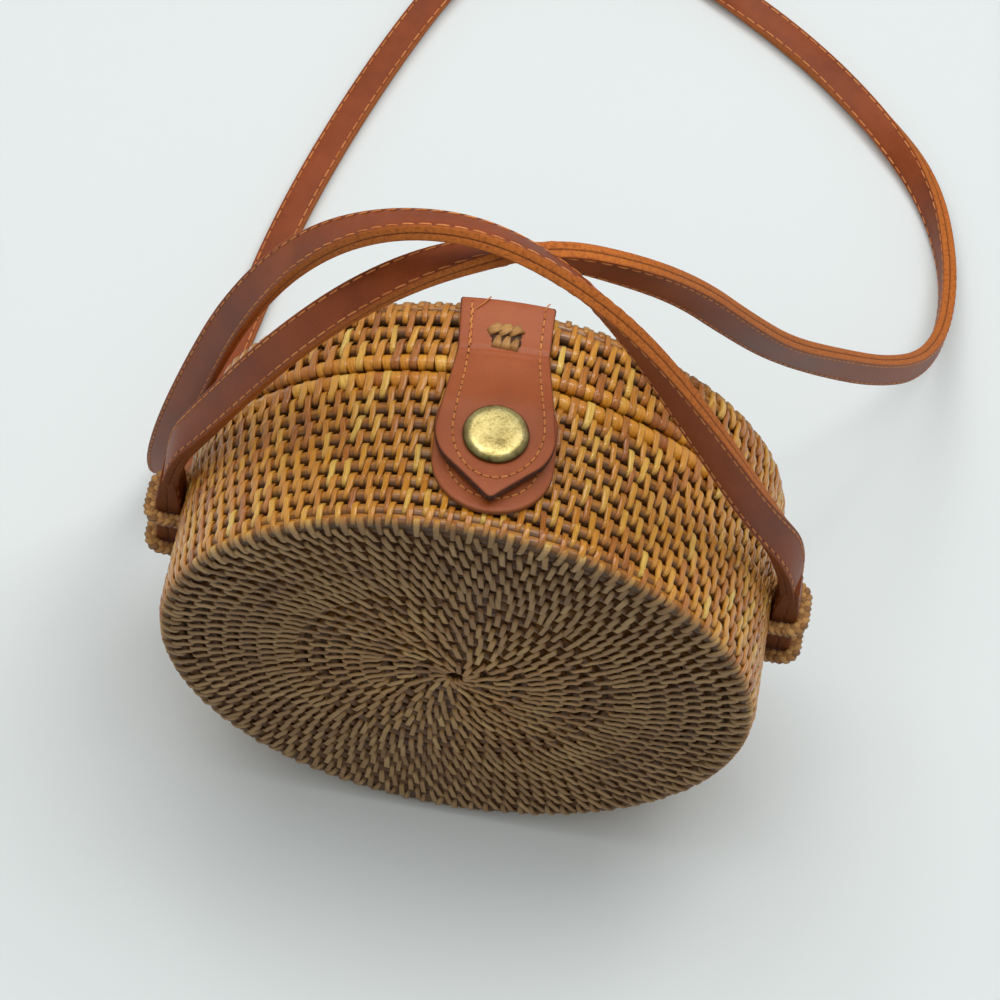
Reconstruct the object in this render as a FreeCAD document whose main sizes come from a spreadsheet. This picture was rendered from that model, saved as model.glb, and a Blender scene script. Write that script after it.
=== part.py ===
import FreeCAD, Part
import math
import os
import Sketcher

# Round coiled-cane shoulder bag: a deep front shell and a shallow lid, hinged at the bottom of
# their seam, closed by a leather tab with a press stud, and carried by one long leather strap.
# x runs from the left strap loops to the right ones, y from the front face to the lid's back,
# z up from the table. Millimetres throughout.

dimensions = {
    "drum_radius": 90,
    "front_depth": 52,
    "lid_depth": 25,
    "axis_height": 91.9,
    "wall": 4,
    "corner_round": 6,
    "inner_round": 3,
    "rim_depth": 5,
    "rim_thickness": 4.4,
    "rim_round": 2.1,
    "seam_gap": 0.3,
    "lining_gap": 0.5,
    "lining_thickness": 0.8,
    "hinge_rise": 1.3,
    "hinge_spread": 14,
    "hinge_ring": 2.4,
    "hinge_strand": 0.8,
    "hinge_clearance": 0.3,
    "loop_depth": 3.2,
    "loop_half_width": 7.7,
    "loop_reach": 10.4,
    "loop_bend": 4,
    "loop_strand": 2.15,
    "upper_loop_rise": 5.5,
    "lower_loop_drop": 12,
    "strap_width": 10.2,
    "strap_thickness": 4.6,
    "strap_end_thickness": 7.2,
    "strap_end_gap": 0.4,
    "strap_end_low": 72,
    "strap_end_high": 103,
    "strap_end_round": 3.2,
    "leather": 2.2,
    "tab_lean": 4.4,
    "tab_shift": 1,
    "tab_back": 37,
    "tab_crease": 20.5,
    "tab_crease_gap": 0.3,
    "tab_back_width": 27,
    "tab_crease_width": 26,
    "tab_shoulder": 17.5,
    "tab_shoulder_depth": -15.2,
    "tab_tip": -30.9,
    "tab_shoulder_round": 13,
    "flap_seat": 0.4,
    "flap_ramp_depth": 9,
    "flap_ramp_lift": 2.6,
    "flap_level_depth": 0.6,
    "flap_level_lift": 5.6,
    "flap_tip_lift": 5.8,
    "patch_width": 34.5,
    "patch_back": 7.5,
    "patch_tip": -32,
    "snap_depth": -10.8,
    "bore_reach": 11,
    "stud_flange_radius": 5,
    "stud_flange_height": 0.5,
    "stud_neck_radius": 1.9,
    "stud_knob_radius": 2.4,
    "stud_knob_height": 1.1,
    "stud_height": 2.3,
    "shank_radius": 1.5,
    "shank_end": 6.4,
    "stud_back_radius": 4.5,
    "stud_back_height": 0.8,
    "socket_radius": 6,
    "socket_low": 3,
    "socket_high": 5.3,
    "socket_cavity_radius": 3.2,
    "socket_roof": 0.5,
    "spring_radius": 2.85,
    "spring_wire": 0.3,
    "cap_radius": 9,
    "cap_height": 3.1,
    "cap_crown": 20.3,
    "cap_seat": 7.95,
    "cap_shank_radius": 2,
    "knot_width": 9,
    "knot_length": 9.4,
    "knot_height": 2.6,
    "knot_depth": 25.7,
    "knot_round": 1.2,
    "knot_groove": 0.6,
}

# The strap's line, from the top of the left loops over the bag, round on the table behind it
# and back over the bag to the right loops. Each point is followed by the way that the strap's
# marked edge points there.
strap_route = [
    ((-94, 3.2, 103), (0, -1, 0)),
    ((-94, 3.2, 124), (1, -9, -1)),
    ((-83, 0, 150), (3, -9, -2)),
    ((-61, -4, 198), (3, -9, -2)),
    ((-38, -1, 231), (1, -10, 1)),
    ((-14, 4, 249), (0, -9, 4)),
    ((9, 10, 252), (2, -2, 9)),
    ((31, 17, 242), (6, 1, 8)),
    ((48, 31, 214), (8, 2, 5)),
    ((63, 46, 180), (9, 2, 5)),
    ((78, 63, 145), (9, 2, 5)),
    ((96, 86, 107), (7, 4, 6)),
    ((115, 110, 70), (6, 5, 6)),
    ((131, 137, 36), (2, 3, 9)),
    ((140, 168, 13), (0, 0, 1)),
    ((140, 200, 6), (0, 0, 1)),
    ((129, 232, 6), (3, 2, 7)),
    ((108, 258, 5), (6, 6, 4)),
    ((80, 284, 4), (6, 7, 1)),
    ((48, 304, 5), (4, 7, 4)),
    ((17, 320, 6), (1, 4, 9)),
    ((-16, 322, 6), (0, 0, 1)),
    ((-42, 307, 6), (-6, 4, 6)),
    ((-59, 280, 4), (-9, 4, 2)),
    ((-78, 228, 3), (-9, 3, 0)),
    ((-93, 172, 3), (-9, 2, 0)),
    ((-100, 118, 3), (-9, 1, 0)),
    ((-105, 78, 6), (-1, 0, 0)),
    ((-108, 52, 26), (-1, 0, 0)),
    ((-107, 36, 62), (-9, 2, 0)),
    ((-101, 25, 104), (-9, 4, 0)),
    ((-92, 19, 146), (-9, 5, 1)),
    ((-79, 16, 189), (-7, 7, -1)),
    ((-60, 12, 230), (-4, 8, -3)),
    ((-36, 8, 256), (-1, 9, -5)),
    ((-12, 4, 265), (0, 8, -5)),
    ((12, -1, 258), (0, 7, -7)),
    ((33, -5, 240), (-6, 5, -6)),
    ((55, -7, 207), (-9, 1, -5)),
    ((77, -4, 164), (-8, -3, -4)),
    ((94, 3.2, 126), (-3, -9, -1)),
    ((94, 3.2, 103), (0, -1, 0)),
]
run_share = 0.45
arc_step = 9
near = 0.01

doc = FreeCAD.newDocument("circle_bag")
bag = doc.addObject("Spreadsheet::Sheet", "bag")
for row, (alias, size) in enumerate(dimensions.items(), 1):
    bag.set("A%d" % row, alias)
    bag.set("B%d" % row, str(size))
    bag.setAlias("B%d" % row, alias)
doc.recompute()

along_y = FreeCAD.Rotation(FreeCAD.Vector(1, 0, 0), -90)
along_x = FreeCAD.Rotation(FreeCAD.Vector(0, 1, 0), 90)
seam = "(bag.front_depth - bag.lid_depth) / 2"
front_face = "-(bag.front_depth + bag.lid_depth) / 2"
lid_back = "(bag.front_depth + bag.lid_depth) / 2"
front_edge = "(%s - bag.seam_gap / 2)" % seam
lid_edge = "(%s + bag.seam_gap / 2)" % seam
hinge_height = "bag.axis_height - bag.drum_radius + bag.hinge_rise"
skin = "(bag.axis_height + bag.drum_radius)"
snap_across = "bag.tab_shift - bag.snap_depth * sin(bag.tab_lean * 1 deg)"
snap_along = "bag.snap_depth * cos(bag.tab_lean * 1 deg)"
sub_parts = []


def bind(piece, **sizes):
    for name, expression in sizes.items():
        piece.setExpression(name, expression)
    return piece


def place(piece, x="0", y="0", z="0", turn=None):
    if turn:
        piece.Placement = FreeCAD.Placement(FreeCAD.Vector(), turn)
    for axis, expression in zip("xyz", (x, y, z)):
        piece.setExpression("Placement.Base." + axis, expression)
    return piece


def cylinder(name, radius, height, x="0", y="0", z="0", turn=None):
    piece = bind(doc.addObject("Part::Cylinder", name), Radius=radius, Height=height)
    return place(piece, x, y, z, turn)


def at_snap(name, radius, height, low):
    """Upright cylinder on the press stud's axis."""
    return cylinder(name, radius, height, snap_across, snap_along, low)


def snap_bore(name, radius):
    """Round hole through all that the press stud passes."""
    return at_snap(name, radius, "2 * bag.bore_reach", skin + " - bag.bore_reach")


def leaned(piece, z="0"):
    """Piece turned and shifted with the tab, which is sewn on a little askew."""
    return place(piece, "bag.tab_shift", "0", z, FreeCAD.Rotation(FreeCAD.Vector(0, 0, 1), bag.tab_lean))


def torus(name, ring, strand, x="0", y="0", z="0", turn=None):
    piece = bind(doc.addObject("Part::Torus", name), Radius1=ring, Radius2=strand)
    return place(piece, x, y, z, turn)


def box(name, width, length, height, x, y, z):
    piece = bind(doc.addObject("Part::Box", name), Length=width, Width=length, Height=height)
    return place(piece, x, y, z)


def cut(name, base, tools):
    tool = tools[0]
    if len(tools) > 1:
        tool = doc.addObject("Part::MultiFuse", name + "_cutters")
        tool.Shapes = tools
    piece = doc.addObject("Part::Cut", name)
    piece.Base = base
    piece.Tool = tool
    return piece


def fuse(name, pieces):
    piece = doc.addObject("Part::MultiFuse", name)
    piece.Shapes = pieces
    return piece


def common(name, pieces):
    piece = doc.addObject("Part::MultiCommon", name)
    piece.Shapes = pieces
    return piece


def keep(label, piece):
    piece.Label = label
    sub_parts.append(piece)
    return piece


def new_sketch(body, role, name):
    sketch = body.newObject("Sketcher::SketchObject", name)
    plane = next(item for item in body.Origin.OriginFeatures if item.Role == role)
    sketch.AttachmentSupport = [(plane, "")]
    sketch.MapMode = "FlatFace"
    return sketch


def hold(sketch, kind, geometry, point, expression):
    now = sketch.getPoint(geometry, point)
    start = now.x if kind == "DistanceX" else now.y
    index = sketch.addConstraint(Sketcher.Constraint(kind, -1, 1, geometry, point, start))
    sketch.setExpression("Constraints[%d]" % index, expression)


def polygon(body, role, name, corners):
    """Closed outline whose corners are pairs of sheet expressions."""
    sketch = new_sketch(body, role, name)
    count = len(corners)
    start = [FreeCAD.Vector(math.cos(2 * math.pi * i / count), math.sin(2 * math.pi * i / count), 0)
             for i in range(count)]
    for i in range(count):
        sketch.addGeometry(Part.LineSegment(start[i], start[(i + 1) % count]))
    for i in range(count):
        sketch.addConstraint(Sketcher.Constraint("Coincident", i, 2, (i + 1) % count, 1))
    for i, (across, up) in enumerate(corners):
        hold(sketch, "DistanceX", i, 1, across)
        hold(sketch, "DistanceY", i, 1, up)
    return sketch


def revolved(name, corners):
    """Body turned about the drum's axis from corners given as (radius, depth)."""
    body = doc.addObject("PartDesign::Body", name)
    sketch = polygon(body, "XY_Plane", name + "_profile", corners)
    turn = body.newObject("PartDesign::Revolution", name + "_turn")
    turn.Profile = sketch
    turn.ReferenceAxis = (sketch, ["V_Axis"])
    turn.Angle = 360
    sketch.Visibility = False
    place(body, z="bag.axis_height")
    doc.recompute()
    return body


def round_edges(body, name, radius, wanted):
    """Fillet on the body's edges that pass the test."""
    base = body.Tip
    names = ["Edge%d" % (i + 1) for i, edge in enumerate(base.Shape.Edges) if wanted(edge)]
    fillet = body.newObject("PartDesign::Fillet", name)
    fillet.Base = (base, names)
    fillet.setExpression("Radius", radius)
    body.Tip = fillet
    doc.recompute()
    return fillet


def circle_at(radius, depth):
    """Test for a round edge of this radius at this depth."""
    def wanted(edge):
        curve = edge.Curve
        return (hasattr(curve, "Radius") and abs(curve.Radius - radius) < near
                and abs(edge.CenterOfMass.y - depth) < near)
    return wanted


def cup(name, face, inner_face, edge):
    """Round dish with a flat face, a straight wall and rounded corners."""
    inner = "bag.drum_radius - bag.wall"
    body = revolved(name, [("0", face), ("bag.drum_radius", face), ("bag.drum_radius", edge),
                           (inner, edge), (inner, inner_face), ("0", inner_face)])
    depth = bag.front_depth + bag.lid_depth
    side = -1 if name.startswith("front") else 1
    outer_test = circle_at(bag.drum_radius, side * depth / 2)
    round_edges(body, name + "_corner", "bag.corner_round", outer_test)
    inner_test = circle_at(bag.drum_radius - bag.wall, side * (depth / 2 - bag.wall))
    round_edges(body, name + "_inner_corner", "bag.inner_round", inner_test)
    return body


def make_shells():
    front_cup = cup("front_cup", front_face, front_face + " + bag.wall", front_edge + " - bag.rim_depth")
    keep("front_shell", cut("front_shell", front_cup, [snap_bore("wall_bore", "bag.shank_radius")]))
    lid_cup = cup("lid_cup", lid_back, lid_back + " - bag.wall", lid_edge + " + bag.rim_depth")
    keep("lid_shell", lid_cup)


def channel(name, side, room):
    """Ring-shaped way through a rim for one hinge loop."""
    return torus(name, "bag.hinge_ring", "bag.hinge_strand + %s" % room,
                 side + "bag.hinge_spread", seam, hinge_height, along_x)


def make_rims():
    inner = "bag.drum_radius - bag.rim_thickness"
    ends = (("front", front_edge, "-", "0"), ("lid", lid_edge, "+", "bag.hinge_clearance"))
    for end, edge, sign, room in ends:
        back = "%s %s bag.rim_depth" % (edge, sign)
        hoop = revolved(end + "_hoop", [("bag.drum_radius", back), ("bag.drum_radius", edge),
                                        (inner, edge), (inner, back)])
        gap = bag.seam_gap / 2
        depth = (bag.front_depth - bag.lid_depth) / 2 + (gap if end == "lid" else -gap)
        outer_test = circle_at(bag.drum_radius, depth)
        inner_test = circle_at(bag.drum_radius - bag.rim_thickness, depth)
        round_edges(hoop, end + "_nose", "bag.rim_round",
                    lambda edge: outer_test(edge) or inner_test(edge))
        ways = [channel("%s_way_%s" % (end, label), side, room)
                for label, side in (("left", "-"), ("right", "+"))]
        keep(end + "_rim_hoop", cut(end + "_rim_hoop", hoop, ways))


def make_linings():
    outer = "bag.drum_radius - bag.wall - bag.lining_gap"
    inner = outer + " - bag.lining_thickness"
    ends = (("front", front_face, "+", front_edge), ("lid", lid_back, "-", lid_edge))
    for end, face, sign, edge in ends:
        floor = "%s %s (bag.wall + bag.inner_round)" % (face, sign)
        seat = "%s %s bag.wall" % (face, sign)
        low = "%s %s (bag.wall + bag.lining_thickness)" % (face, sign)
        mouth = "%s %s bag.rim_round" % (edge, "-" if sign == "+" else "+")
        slope = outer + " - bag.inner_round"
        profile = [("0", seat), (slope, seat), (outer, floor), (outer, mouth),
                   (inner, mouth), (inner, floor), (slope, low), ("0", low)]
        lining = revolved(end + "_cloth", profile)
        if end == "front":
            lining = cut("front_lining", lining, [snap_bore("lining_bore", "bag.shank_radius")])
        keep(end + "_lining", lining)


def make_hinge_loops():
    for label, side in (("left", "-"), ("right", "+")):
        loop = channel("hinge_loop_" + label, side, "0")
        keep("hinge_loop_" + label, loop)


def strap_loop(name, turn, height):
    """Braided loop for the strap: a U-shaped bar that stands out from the wall."""
    body = doc.addObject("PartDesign::Body", name + "_bar")
    path = new_sketch(body, "XY_Plane", name + "_path")
    root = bag.drum_radius - bag.wall / 2
    reach = bag.drum_radius + bag.loop_reach
    half = bag.loop_half_width
    bend = bag.loop_bend
    corner = bend * (1 - math.sqrt(0.5))
    point = FreeCAD.Vector
    path.addGeometry(Part.LineSegment(point(root, -half, 0), point(reach - bend, -half, 0)))
    path.addGeometry(Part.Arc(point(reach - bend, -half, 0), point(reach - corner, -half + corner, 0),
                              point(reach, -half + bend, 0)))
    path.addGeometry(Part.LineSegment(point(reach, -half + bend, 0), point(reach, half - bend, 0)))
    path.addGeometry(Part.Arc(point(reach, half - bend, 0), point(reach - corner, half - corner, 0),
                              point(reach - bend, half, 0)))
    path.addGeometry(Part.LineSegment(point(reach - bend, half, 0), point(root, half, 0)))
    for i in range(4):
        path.addConstraint(Sketcher.Constraint("Tangent", i, 2, i + 1, 1))
    path.addConstraint(Sketcher.Constraint("Vertical", 2))
    path.addConstraint(Sketcher.Constraint("Equal", 1, 3))
    hold(path, "DistanceX", 0, 1, "bag.drum_radius - bag.wall / 2")
    hold(path, "DistanceY", 0, 1, "-bag.loop_half_width")
    hold(path, "DistanceX", 2, 1, "bag.drum_radius + bag.loop_reach")
    hold(path, "DistanceY", 2, 1, "-bag.loop_half_width + bag.loop_bend")
    hold(path, "DistanceX", 4, 2, "bag.drum_radius - bag.wall / 2")
    hold(path, "DistanceY", 4, 2, "bag.loop_half_width")
    section = new_sketch(body, "YZ_Plane", name + "_section")
    section.AttachmentOffset = FreeCAD.Placement(point(0, 0, root), FreeCAD.Rotation())
    section.setExpression("AttachmentOffset.Base.z", "bag.drum_radius - bag.wall / 2")
    section.addGeometry(Part.Circle(point(-half, 0, 0), point(0, 0, 1), bag.loop_strand))
    index = section.addConstraint(Sketcher.Constraint("Radius", 0, bag.loop_strand))
    section.setExpression("Constraints[%d]" % index, "bag.loop_strand")
    hold(section, "DistanceX", 0, 3, "-bag.loop_half_width")
    hold(section, "DistanceY", 0, 3, "0")
    bar = body.newObject("PartDesign::AdditivePipe", name + "_bend")
    bar.Profile = section
    bar.Spine = path
    place(body, y="bag.loop_depth", z=height, turn=turn)
    drum = cylinder(name + "_seat", "bag.drum_radius", "bag.front_depth + bag.lid_depth",
                    y=front_face, z="bag.axis_height", turn=along_y)
    keep(name, cut(name, body, [drum]))


def make_strap_loops():
    turns = (("right", FreeCAD.Rotation()), ("left", FreeCAD.Rotation(FreeCAD.Vector(0, 0, 1), 180)))
    heights = (("upper", "bag.axis_height + bag.upper_loop_rise"),
               ("lower", "bag.axis_height - bag.lower_loop_drop"))
    for side, turn in turns:
        for level, height in heights:
            strap_loop("%s_%s_loop" % (side, level), turn, height)


def make_strap_ends():
    """Strap's ends, folded back on themselves inside the loops."""
    starts = {"left": "-bag.drum_radius - bag.strap_end_gap - bag.strap_end_thickness",
              "right": "bag.drum_radius + bag.strap_end_gap"}
    for side, start in starts.items():
        block = box("strap_fold_" + side, "bag.strap_end_thickness", "bag.strap_width",
                    "bag.strap_end_high - bag.strap_end_low", start,
                    "bag.loop_depth - bag.strap_width / 2", "bag.strap_end_low")
        doc.recompute()
        fold = doc.addObject("Part::Fillet", "strap_end_" + side)
        fold.Base = block
        radius = bag.strap_end_round
        low = bag.strap_end_low
        fold.Edges = [(i + 1, radius, radius) for i, edge in enumerate(block.Shape.Edges)
                      if abs(edge.CenterOfMass.z - low) < near and edge.BoundBox.YLength > radius]
        keep("strap_end_" + side, fold)


def strap_stations():
    """Centre, way along and edge direction at each section of the strap's line."""
    points = [FreeCAD.Vector(*point) for point, edge in strap_route]
    edges = [FreeCAD.Vector(*edge).normalize() for point, edge in strap_route]
    stations = []
    radii = []
    for i in range(1, len(points) - 1):
        before = points[i] - points[i - 1]
        after = points[i + 1] - points[i]
        turn = before.getAngle(after)
        reach = run_share * min(before.Length, after.Length)
        radii.append(reach / math.tan(turn / 2))
        steps = max(2, math.ceil(math.degrees(turn) / arc_step))
        way_in = FreeCAD.Vector(before).normalize()
        way_out = FreeCAD.Vector(after).normalize()
        across = (way_out - way_in * way_in.dot(way_out)).normalize()
        for step in range(steps + 1):
            angle = turn * step / steps
            share = 2 * step / steps - 1
            radius = radii[-1]
            centre = (points[i] - way_in * reach + way_in * (radius * math.sin(angle))
                      + across * (radius * (1 - math.cos(angle))))
            way = way_in * math.cos(angle) + across * math.sin(angle)
            side = i + 1 if share > 0 else i - 1
            mix = abs(share) * reach / (after.Length if share > 0 else before.Length)
            stations.append((centre, way, edges[i] * (1 - mix) + edges[side] * mix))
    first_way = (points[1] - points[0]).normalize()
    last_way = (points[-1] - points[-2]).normalize()
    stations.insert(0, (points[0], first_way, edges[0]))
    stations.append((points[-1], last_way, edges[-1]))
    print("strap bend radii", [round(radius) for radius in radii])
    return stations


def strap_section(centre, way, edge):
    """Flat rectangle square to the strap's line."""
    across = (edge - way * way.dot(edge)).normalize() * (bag.strap_width / 2)
    up = way.cross(across).normalize() * (bag.strap_thickness / 2)
    corners = [centre + across + up, centre - across + up, centre - across - up, centre + across - up]
    return Part.makePolygon(corners + corners[:1])


def make_strap():
    stations = strap_stations()
    sections = [strap_section(*station) for station in stations]
    shape = Part.makeLoft(sections, True, True)
    length = sum((b[0] - a[0]).Length for a, b in zip(stations, stations[1:]))
    expected = length * bag.strap_width * bag.strap_thickness
    print("strap length %.0f mm" % length)
    print("strap volume against section times length %.3f" % (shape.Volume / expected))
    print("strap's lowest point %.2f mm" % shape.BoundBox.ZMin)
    strap = doc.addObject("Part::Feature", "strap")
    strap.Shape = shape
    strap.Placement = FreeCAD.Placement()
    keep("strap", strap)


def wrap(name, low, high):
    """Tube round the drum, from which the pieces that lie on its wall are cut."""
    length = "2 * (bag.front_depth + bag.lid_depth)"
    outer = cylinder(name + "_outer", high, length, y="-bag.front_depth - bag.lid_depth",
                     z="bag.axis_height", turn=along_y)
    inner = cylinder(name + "_inner", low, length, y="-bag.front_depth - bag.lid_depth",
                     z="bag.axis_height", turn=along_y)
    return cut(name, outer, [inner])


def make_patch():
    """Leather tongue sewn on the front shell, under the tab."""
    radius = "bag.patch_width / 2"
    centre = "bag.patch_tip + bag.patch_width / 2"
    tall = "bag.drum_radius * 2"
    straight = box("patch_straight", "bag.patch_width", "bag.patch_back - (%s)" % centre, tall,
                   "-" + radius, centre, "bag.axis_height")
    tip = cylinder("patch_round", radius, tall, y=centre, z="bag.axis_height")
    outline = leaned(fuse("patch_outline", [straight, tip]))
    skin_tube = wrap("patch_skin", "bag.drum_radius", "bag.drum_radius + bag.leather")
    curved = common("patch_curved", [outline, skin_tube])
    keep("snap_patch", cut("snap_patch", curved, [snap_bore("patch_bore", "bag.shank_radius")]))


def make_tab_base():
    """Back of the leather tab, lashed to the lid."""
    body = doc.addObject("PartDesign::Body", "tab_base_blank")
    half_back = "bag.tab_back_width / 2"
    half_crease = "bag.tab_crease_width / 2"
    outline = polygon(body, "XY_Plane", "tab_base_outline",
                      [("-" + half_crease, "bag.tab_crease"), (half_crease, "bag.tab_crease"),
                       (half_back, "bag.tab_back"), ("-" + half_back, "bag.tab_back")])
    pad = body.newObject("PartDesign::Pad", "tab_base_pad")
    pad.Profile = outline
    pad.setExpression("Length", "bag.drum_radius * 2")
    leaned(body, "bag.axis_height")
    skin_tube = wrap("tab_base_skin", "bag.drum_radius", "bag.drum_radius + bag.leather")
    keep("closure_tab_base", common("closure_tab_base", [body, skin_tube]))


def make_flap():
    """Front of the tab, which bends up at the crease: a pointed tongue that rises over the stud."""
    body = doc.addObject("PartDesign::Body", "flap_blank")
    half = "bag.tab_crease_width / 2"
    start = "bag.tab_crease - bag.tab_crease_gap"
    outline = polygon(body, "XY_Plane", "flap_outline",
                      [("-" + half, start), ("-bag.tab_shoulder", "bag.tab_shoulder_depth"),
                       ("0", "bag.tab_tip"), ("bag.tab_shoulder", "bag.tab_shoulder_depth"), (half, start)])
    pad = body.newObject("PartDesign::Pad", "flap_pad")
    pad.Profile = outline
    pad.setExpression("Length", "bag.drum_radius * 2")
    leaned(body, "bag.axis_height")
    doc.recompute()
    shoulder = bag.tab_shoulder
    depth = bag.tab_shoulder_depth
    round_edges(body, "flap_shoulders", "bag.tab_shoulder_round",
                lambda edge: (edge.BoundBox.ZLength > shoulder and abs(edge.CenterOfMass.y - depth) < near
                              and abs(abs(edge.CenterOfMass.x) - shoulder) < near))
    low = [("bag.drum_radius + bag.flap_seat", start + " + bag.leather"),
           ("bag.drum_radius + bag.flap_seat", start),
           ("bag.drum_radius + bag.flap_ramp_lift", "bag.flap_ramp_depth"),
           ("bag.drum_radius + bag.flap_level_lift", "bag.flap_level_depth"),
           ("bag.drum_radius + bag.flap_tip_lift", "bag.tab_tip - bag.leather")]
    high = [(radius + " + bag.leather", depth_along) for radius, depth_along in reversed(low)]
    curved = common("flap_curved", [body, revolved("flap_rise", low + high)])
    hole = snap_bore("flap_hole", "bag.cap_shank_radius")
    keep("closure_tab_flap", cut("closure_tab_flap", curved, [hole]))


def make_knot():
    """Cane lashing that holds the tab to the lid: two strands crossing two."""
    top = skin + " + bag.leather"
    blank = box("knot_blank", "bag.knot_width", "bag.knot_length", "bag.knot_height",
                "-bag.knot_width / 2", "bag.knot_depth - bag.knot_length / 2", top)
    doc.recompute()
    pillow = doc.addObject("Part::Fillet", "knot_pillow")
    pillow.Base = blank
    low = blank.Shape.BoundBox.ZMin
    pillow.Edges = [(i + 1, bag.knot_round, bag.knot_round) for i, edge in enumerate(blank.Shape.Edges)
                    if edge.BoundBox.ZMin > low + near]
    valley = top + " + bag.knot_height"
    lengthwise = cylinder("knot_valley_long", "bag.knot_groove", "bag.knot_length * 2", "0",
                          "bag.knot_depth - bag.knot_length", valley, along_y)
    crosswise = cylinder("knot_valley_cross", "bag.knot_groove", "bag.knot_width * 2", "-bag.knot_width",
                         "bag.knot_depth", valley, along_x)
    keep("tab_lashing", leaned(cut("tab_lashing", pillow, [lengthwise, crosswise])))


def make_stud():
    """Press stud's lower half: flange, neck and knob on the patch, riveted through the wall."""
    foot = skin + " + bag.leather"
    low = skin + " - bag.shank_end"
    flange = at_snap("stud_flange", "bag.stud_flange_radius", "bag.stud_flange_height", foot)
    neck = at_snap("stud_neck", "bag.stud_neck_radius", "bag.stud_height", foot)
    knob = at_snap("stud_knob", "bag.stud_knob_radius", "bag.stud_knob_height",
                   foot + " + bag.stud_height - bag.stud_knob_height")
    shank = at_snap("stud_shank", "bag.shank_radius", "bag.leather + bag.shank_end", low)
    keep("snap_stud", fuse("snap_stud", [flange, neck, knob, shank]))
    disc = at_snap("stud_back_disc", "bag.stud_back_radius", "bag.stud_back_height", low)
    keep("snap_stud_back", cut("snap_stud_back", disc, [snap_bore("stud_back_bore", "bag.shank_radius")]))


def make_socket():
    """Press stud's upper half: the socket with its wire spring, under the flap."""
    low = skin + " + bag.socket_low"
    drum = at_snap("socket_drum", "bag.socket_radius", "bag.socket_high - bag.socket_low", low)
    cavity = at_snap("socket_cavity", "bag.socket_cavity_radius",
                     "bag.socket_high - bag.socket_roof", skin)
    keep("snap_socket", cut("snap_socket", drum, [cavity, snap_bore("socket_bore", "bag.cap_shank_radius")]))
    ring = torus("socket_spring", "bag.spring_radius", "bag.spring_wire", snap_across, snap_along,
                 skin + " + (bag.socket_low + bag.socket_high) / 2")
    keep("socket_spring", ring)


def make_cap():
    """Domed brass cap on top of the flap, with the shank that the socket is set on."""
    seat = skin + " + bag.cap_seat"
    blank = at_snap("cap_blank", "bag.cap_radius", "bag.cap_height", seat)
    crown = bind(doc.addObject("Part::Sphere", "cap_crown_ball"), Radius="bag.cap_crown")
    place(crown, snap_across, snap_along, seat + " + bag.cap_height - bag.cap_crown")
    dome = common("cap_dome", [blank, crown])
    roof = "bag.socket_high - bag.socket_roof"
    shank = at_snap("cap_shank", "bag.cap_shank_radius", "bag.cap_seat - (%s) + bag.cap_height / 2" % roof,
                    "%s + %s" % (skin, roof))
    keep("snap_cap", fuse("snap_cap", [dome, shank]))


make_shells()
make_rims()
make_linings()
make_hinge_loops()
make_strap_loops()
make_strap_ends()
make_strap()
make_patch()
make_tab_base()
make_flap()
make_knot()
make_stud()
make_socket()
make_cap()
doc.recompute()

for item in doc.Objects:
    if "Invalid" in item.State or "Error" in item.State:
        raise RuntimeError("%s failed: %s" % (item.Label, item.State))
for piece in sub_parts:
    if piece.Shape.isNull() or not piece.Shape.isValid() or not piece.Shape.Solids:
        raise RuntimeError("%s has no valid solid" % piece.Label)

os.makedirs("parts", exist_ok=True)
for piece in sub_parts:
    piece.Shape.exportStep("parts/%s.step" % piece.Label)
    print("%s: %d solid, %.1f mm3" % (piece.Label, len(piece.Shape.Solids), piece.Shape.Volume))
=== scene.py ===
import math

import bpy
import numpy as np
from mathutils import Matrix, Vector


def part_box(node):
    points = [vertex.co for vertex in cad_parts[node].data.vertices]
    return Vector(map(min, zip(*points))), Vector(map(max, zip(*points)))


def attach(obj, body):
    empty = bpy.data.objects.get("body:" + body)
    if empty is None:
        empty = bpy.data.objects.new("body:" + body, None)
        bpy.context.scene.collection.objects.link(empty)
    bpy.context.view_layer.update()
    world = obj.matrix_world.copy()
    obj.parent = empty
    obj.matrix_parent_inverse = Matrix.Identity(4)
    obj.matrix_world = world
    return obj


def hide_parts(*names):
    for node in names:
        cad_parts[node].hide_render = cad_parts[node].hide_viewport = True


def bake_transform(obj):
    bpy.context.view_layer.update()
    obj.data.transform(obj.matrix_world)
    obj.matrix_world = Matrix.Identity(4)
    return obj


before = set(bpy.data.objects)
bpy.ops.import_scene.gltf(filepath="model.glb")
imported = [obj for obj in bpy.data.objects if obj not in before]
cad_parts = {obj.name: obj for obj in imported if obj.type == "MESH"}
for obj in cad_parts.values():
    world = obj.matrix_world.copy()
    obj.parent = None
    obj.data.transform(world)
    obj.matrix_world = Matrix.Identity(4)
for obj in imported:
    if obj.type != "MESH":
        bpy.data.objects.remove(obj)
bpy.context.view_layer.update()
bpy.ops.object.select_all(action="DESELECT")
print("frame loaded")

seed = 4  # one seed for every uneven stitch
frontLow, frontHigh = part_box("front_shell")
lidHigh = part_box("lid_shell")[1]
drumRadius = (frontHigh.x - frontLow.x) / 2
drumAxis = (frontHigh.z + frontLow.z) / 2
quarterTurn = math.pi / 2
fullTurn = 2 * math.pi
mm = 0.001


def tint(red, green, blue):
    # a screen colour, 0 to 255, as the linear colour that a shader takes
    levels = [level / 255 for level in (red, green, blue)]
    linear = [level / 12.92 if level < 0.04 else ((level + 0.055) / 1.055) ** 2.4 for level in levels]
    return (*linear, 1)


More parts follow.
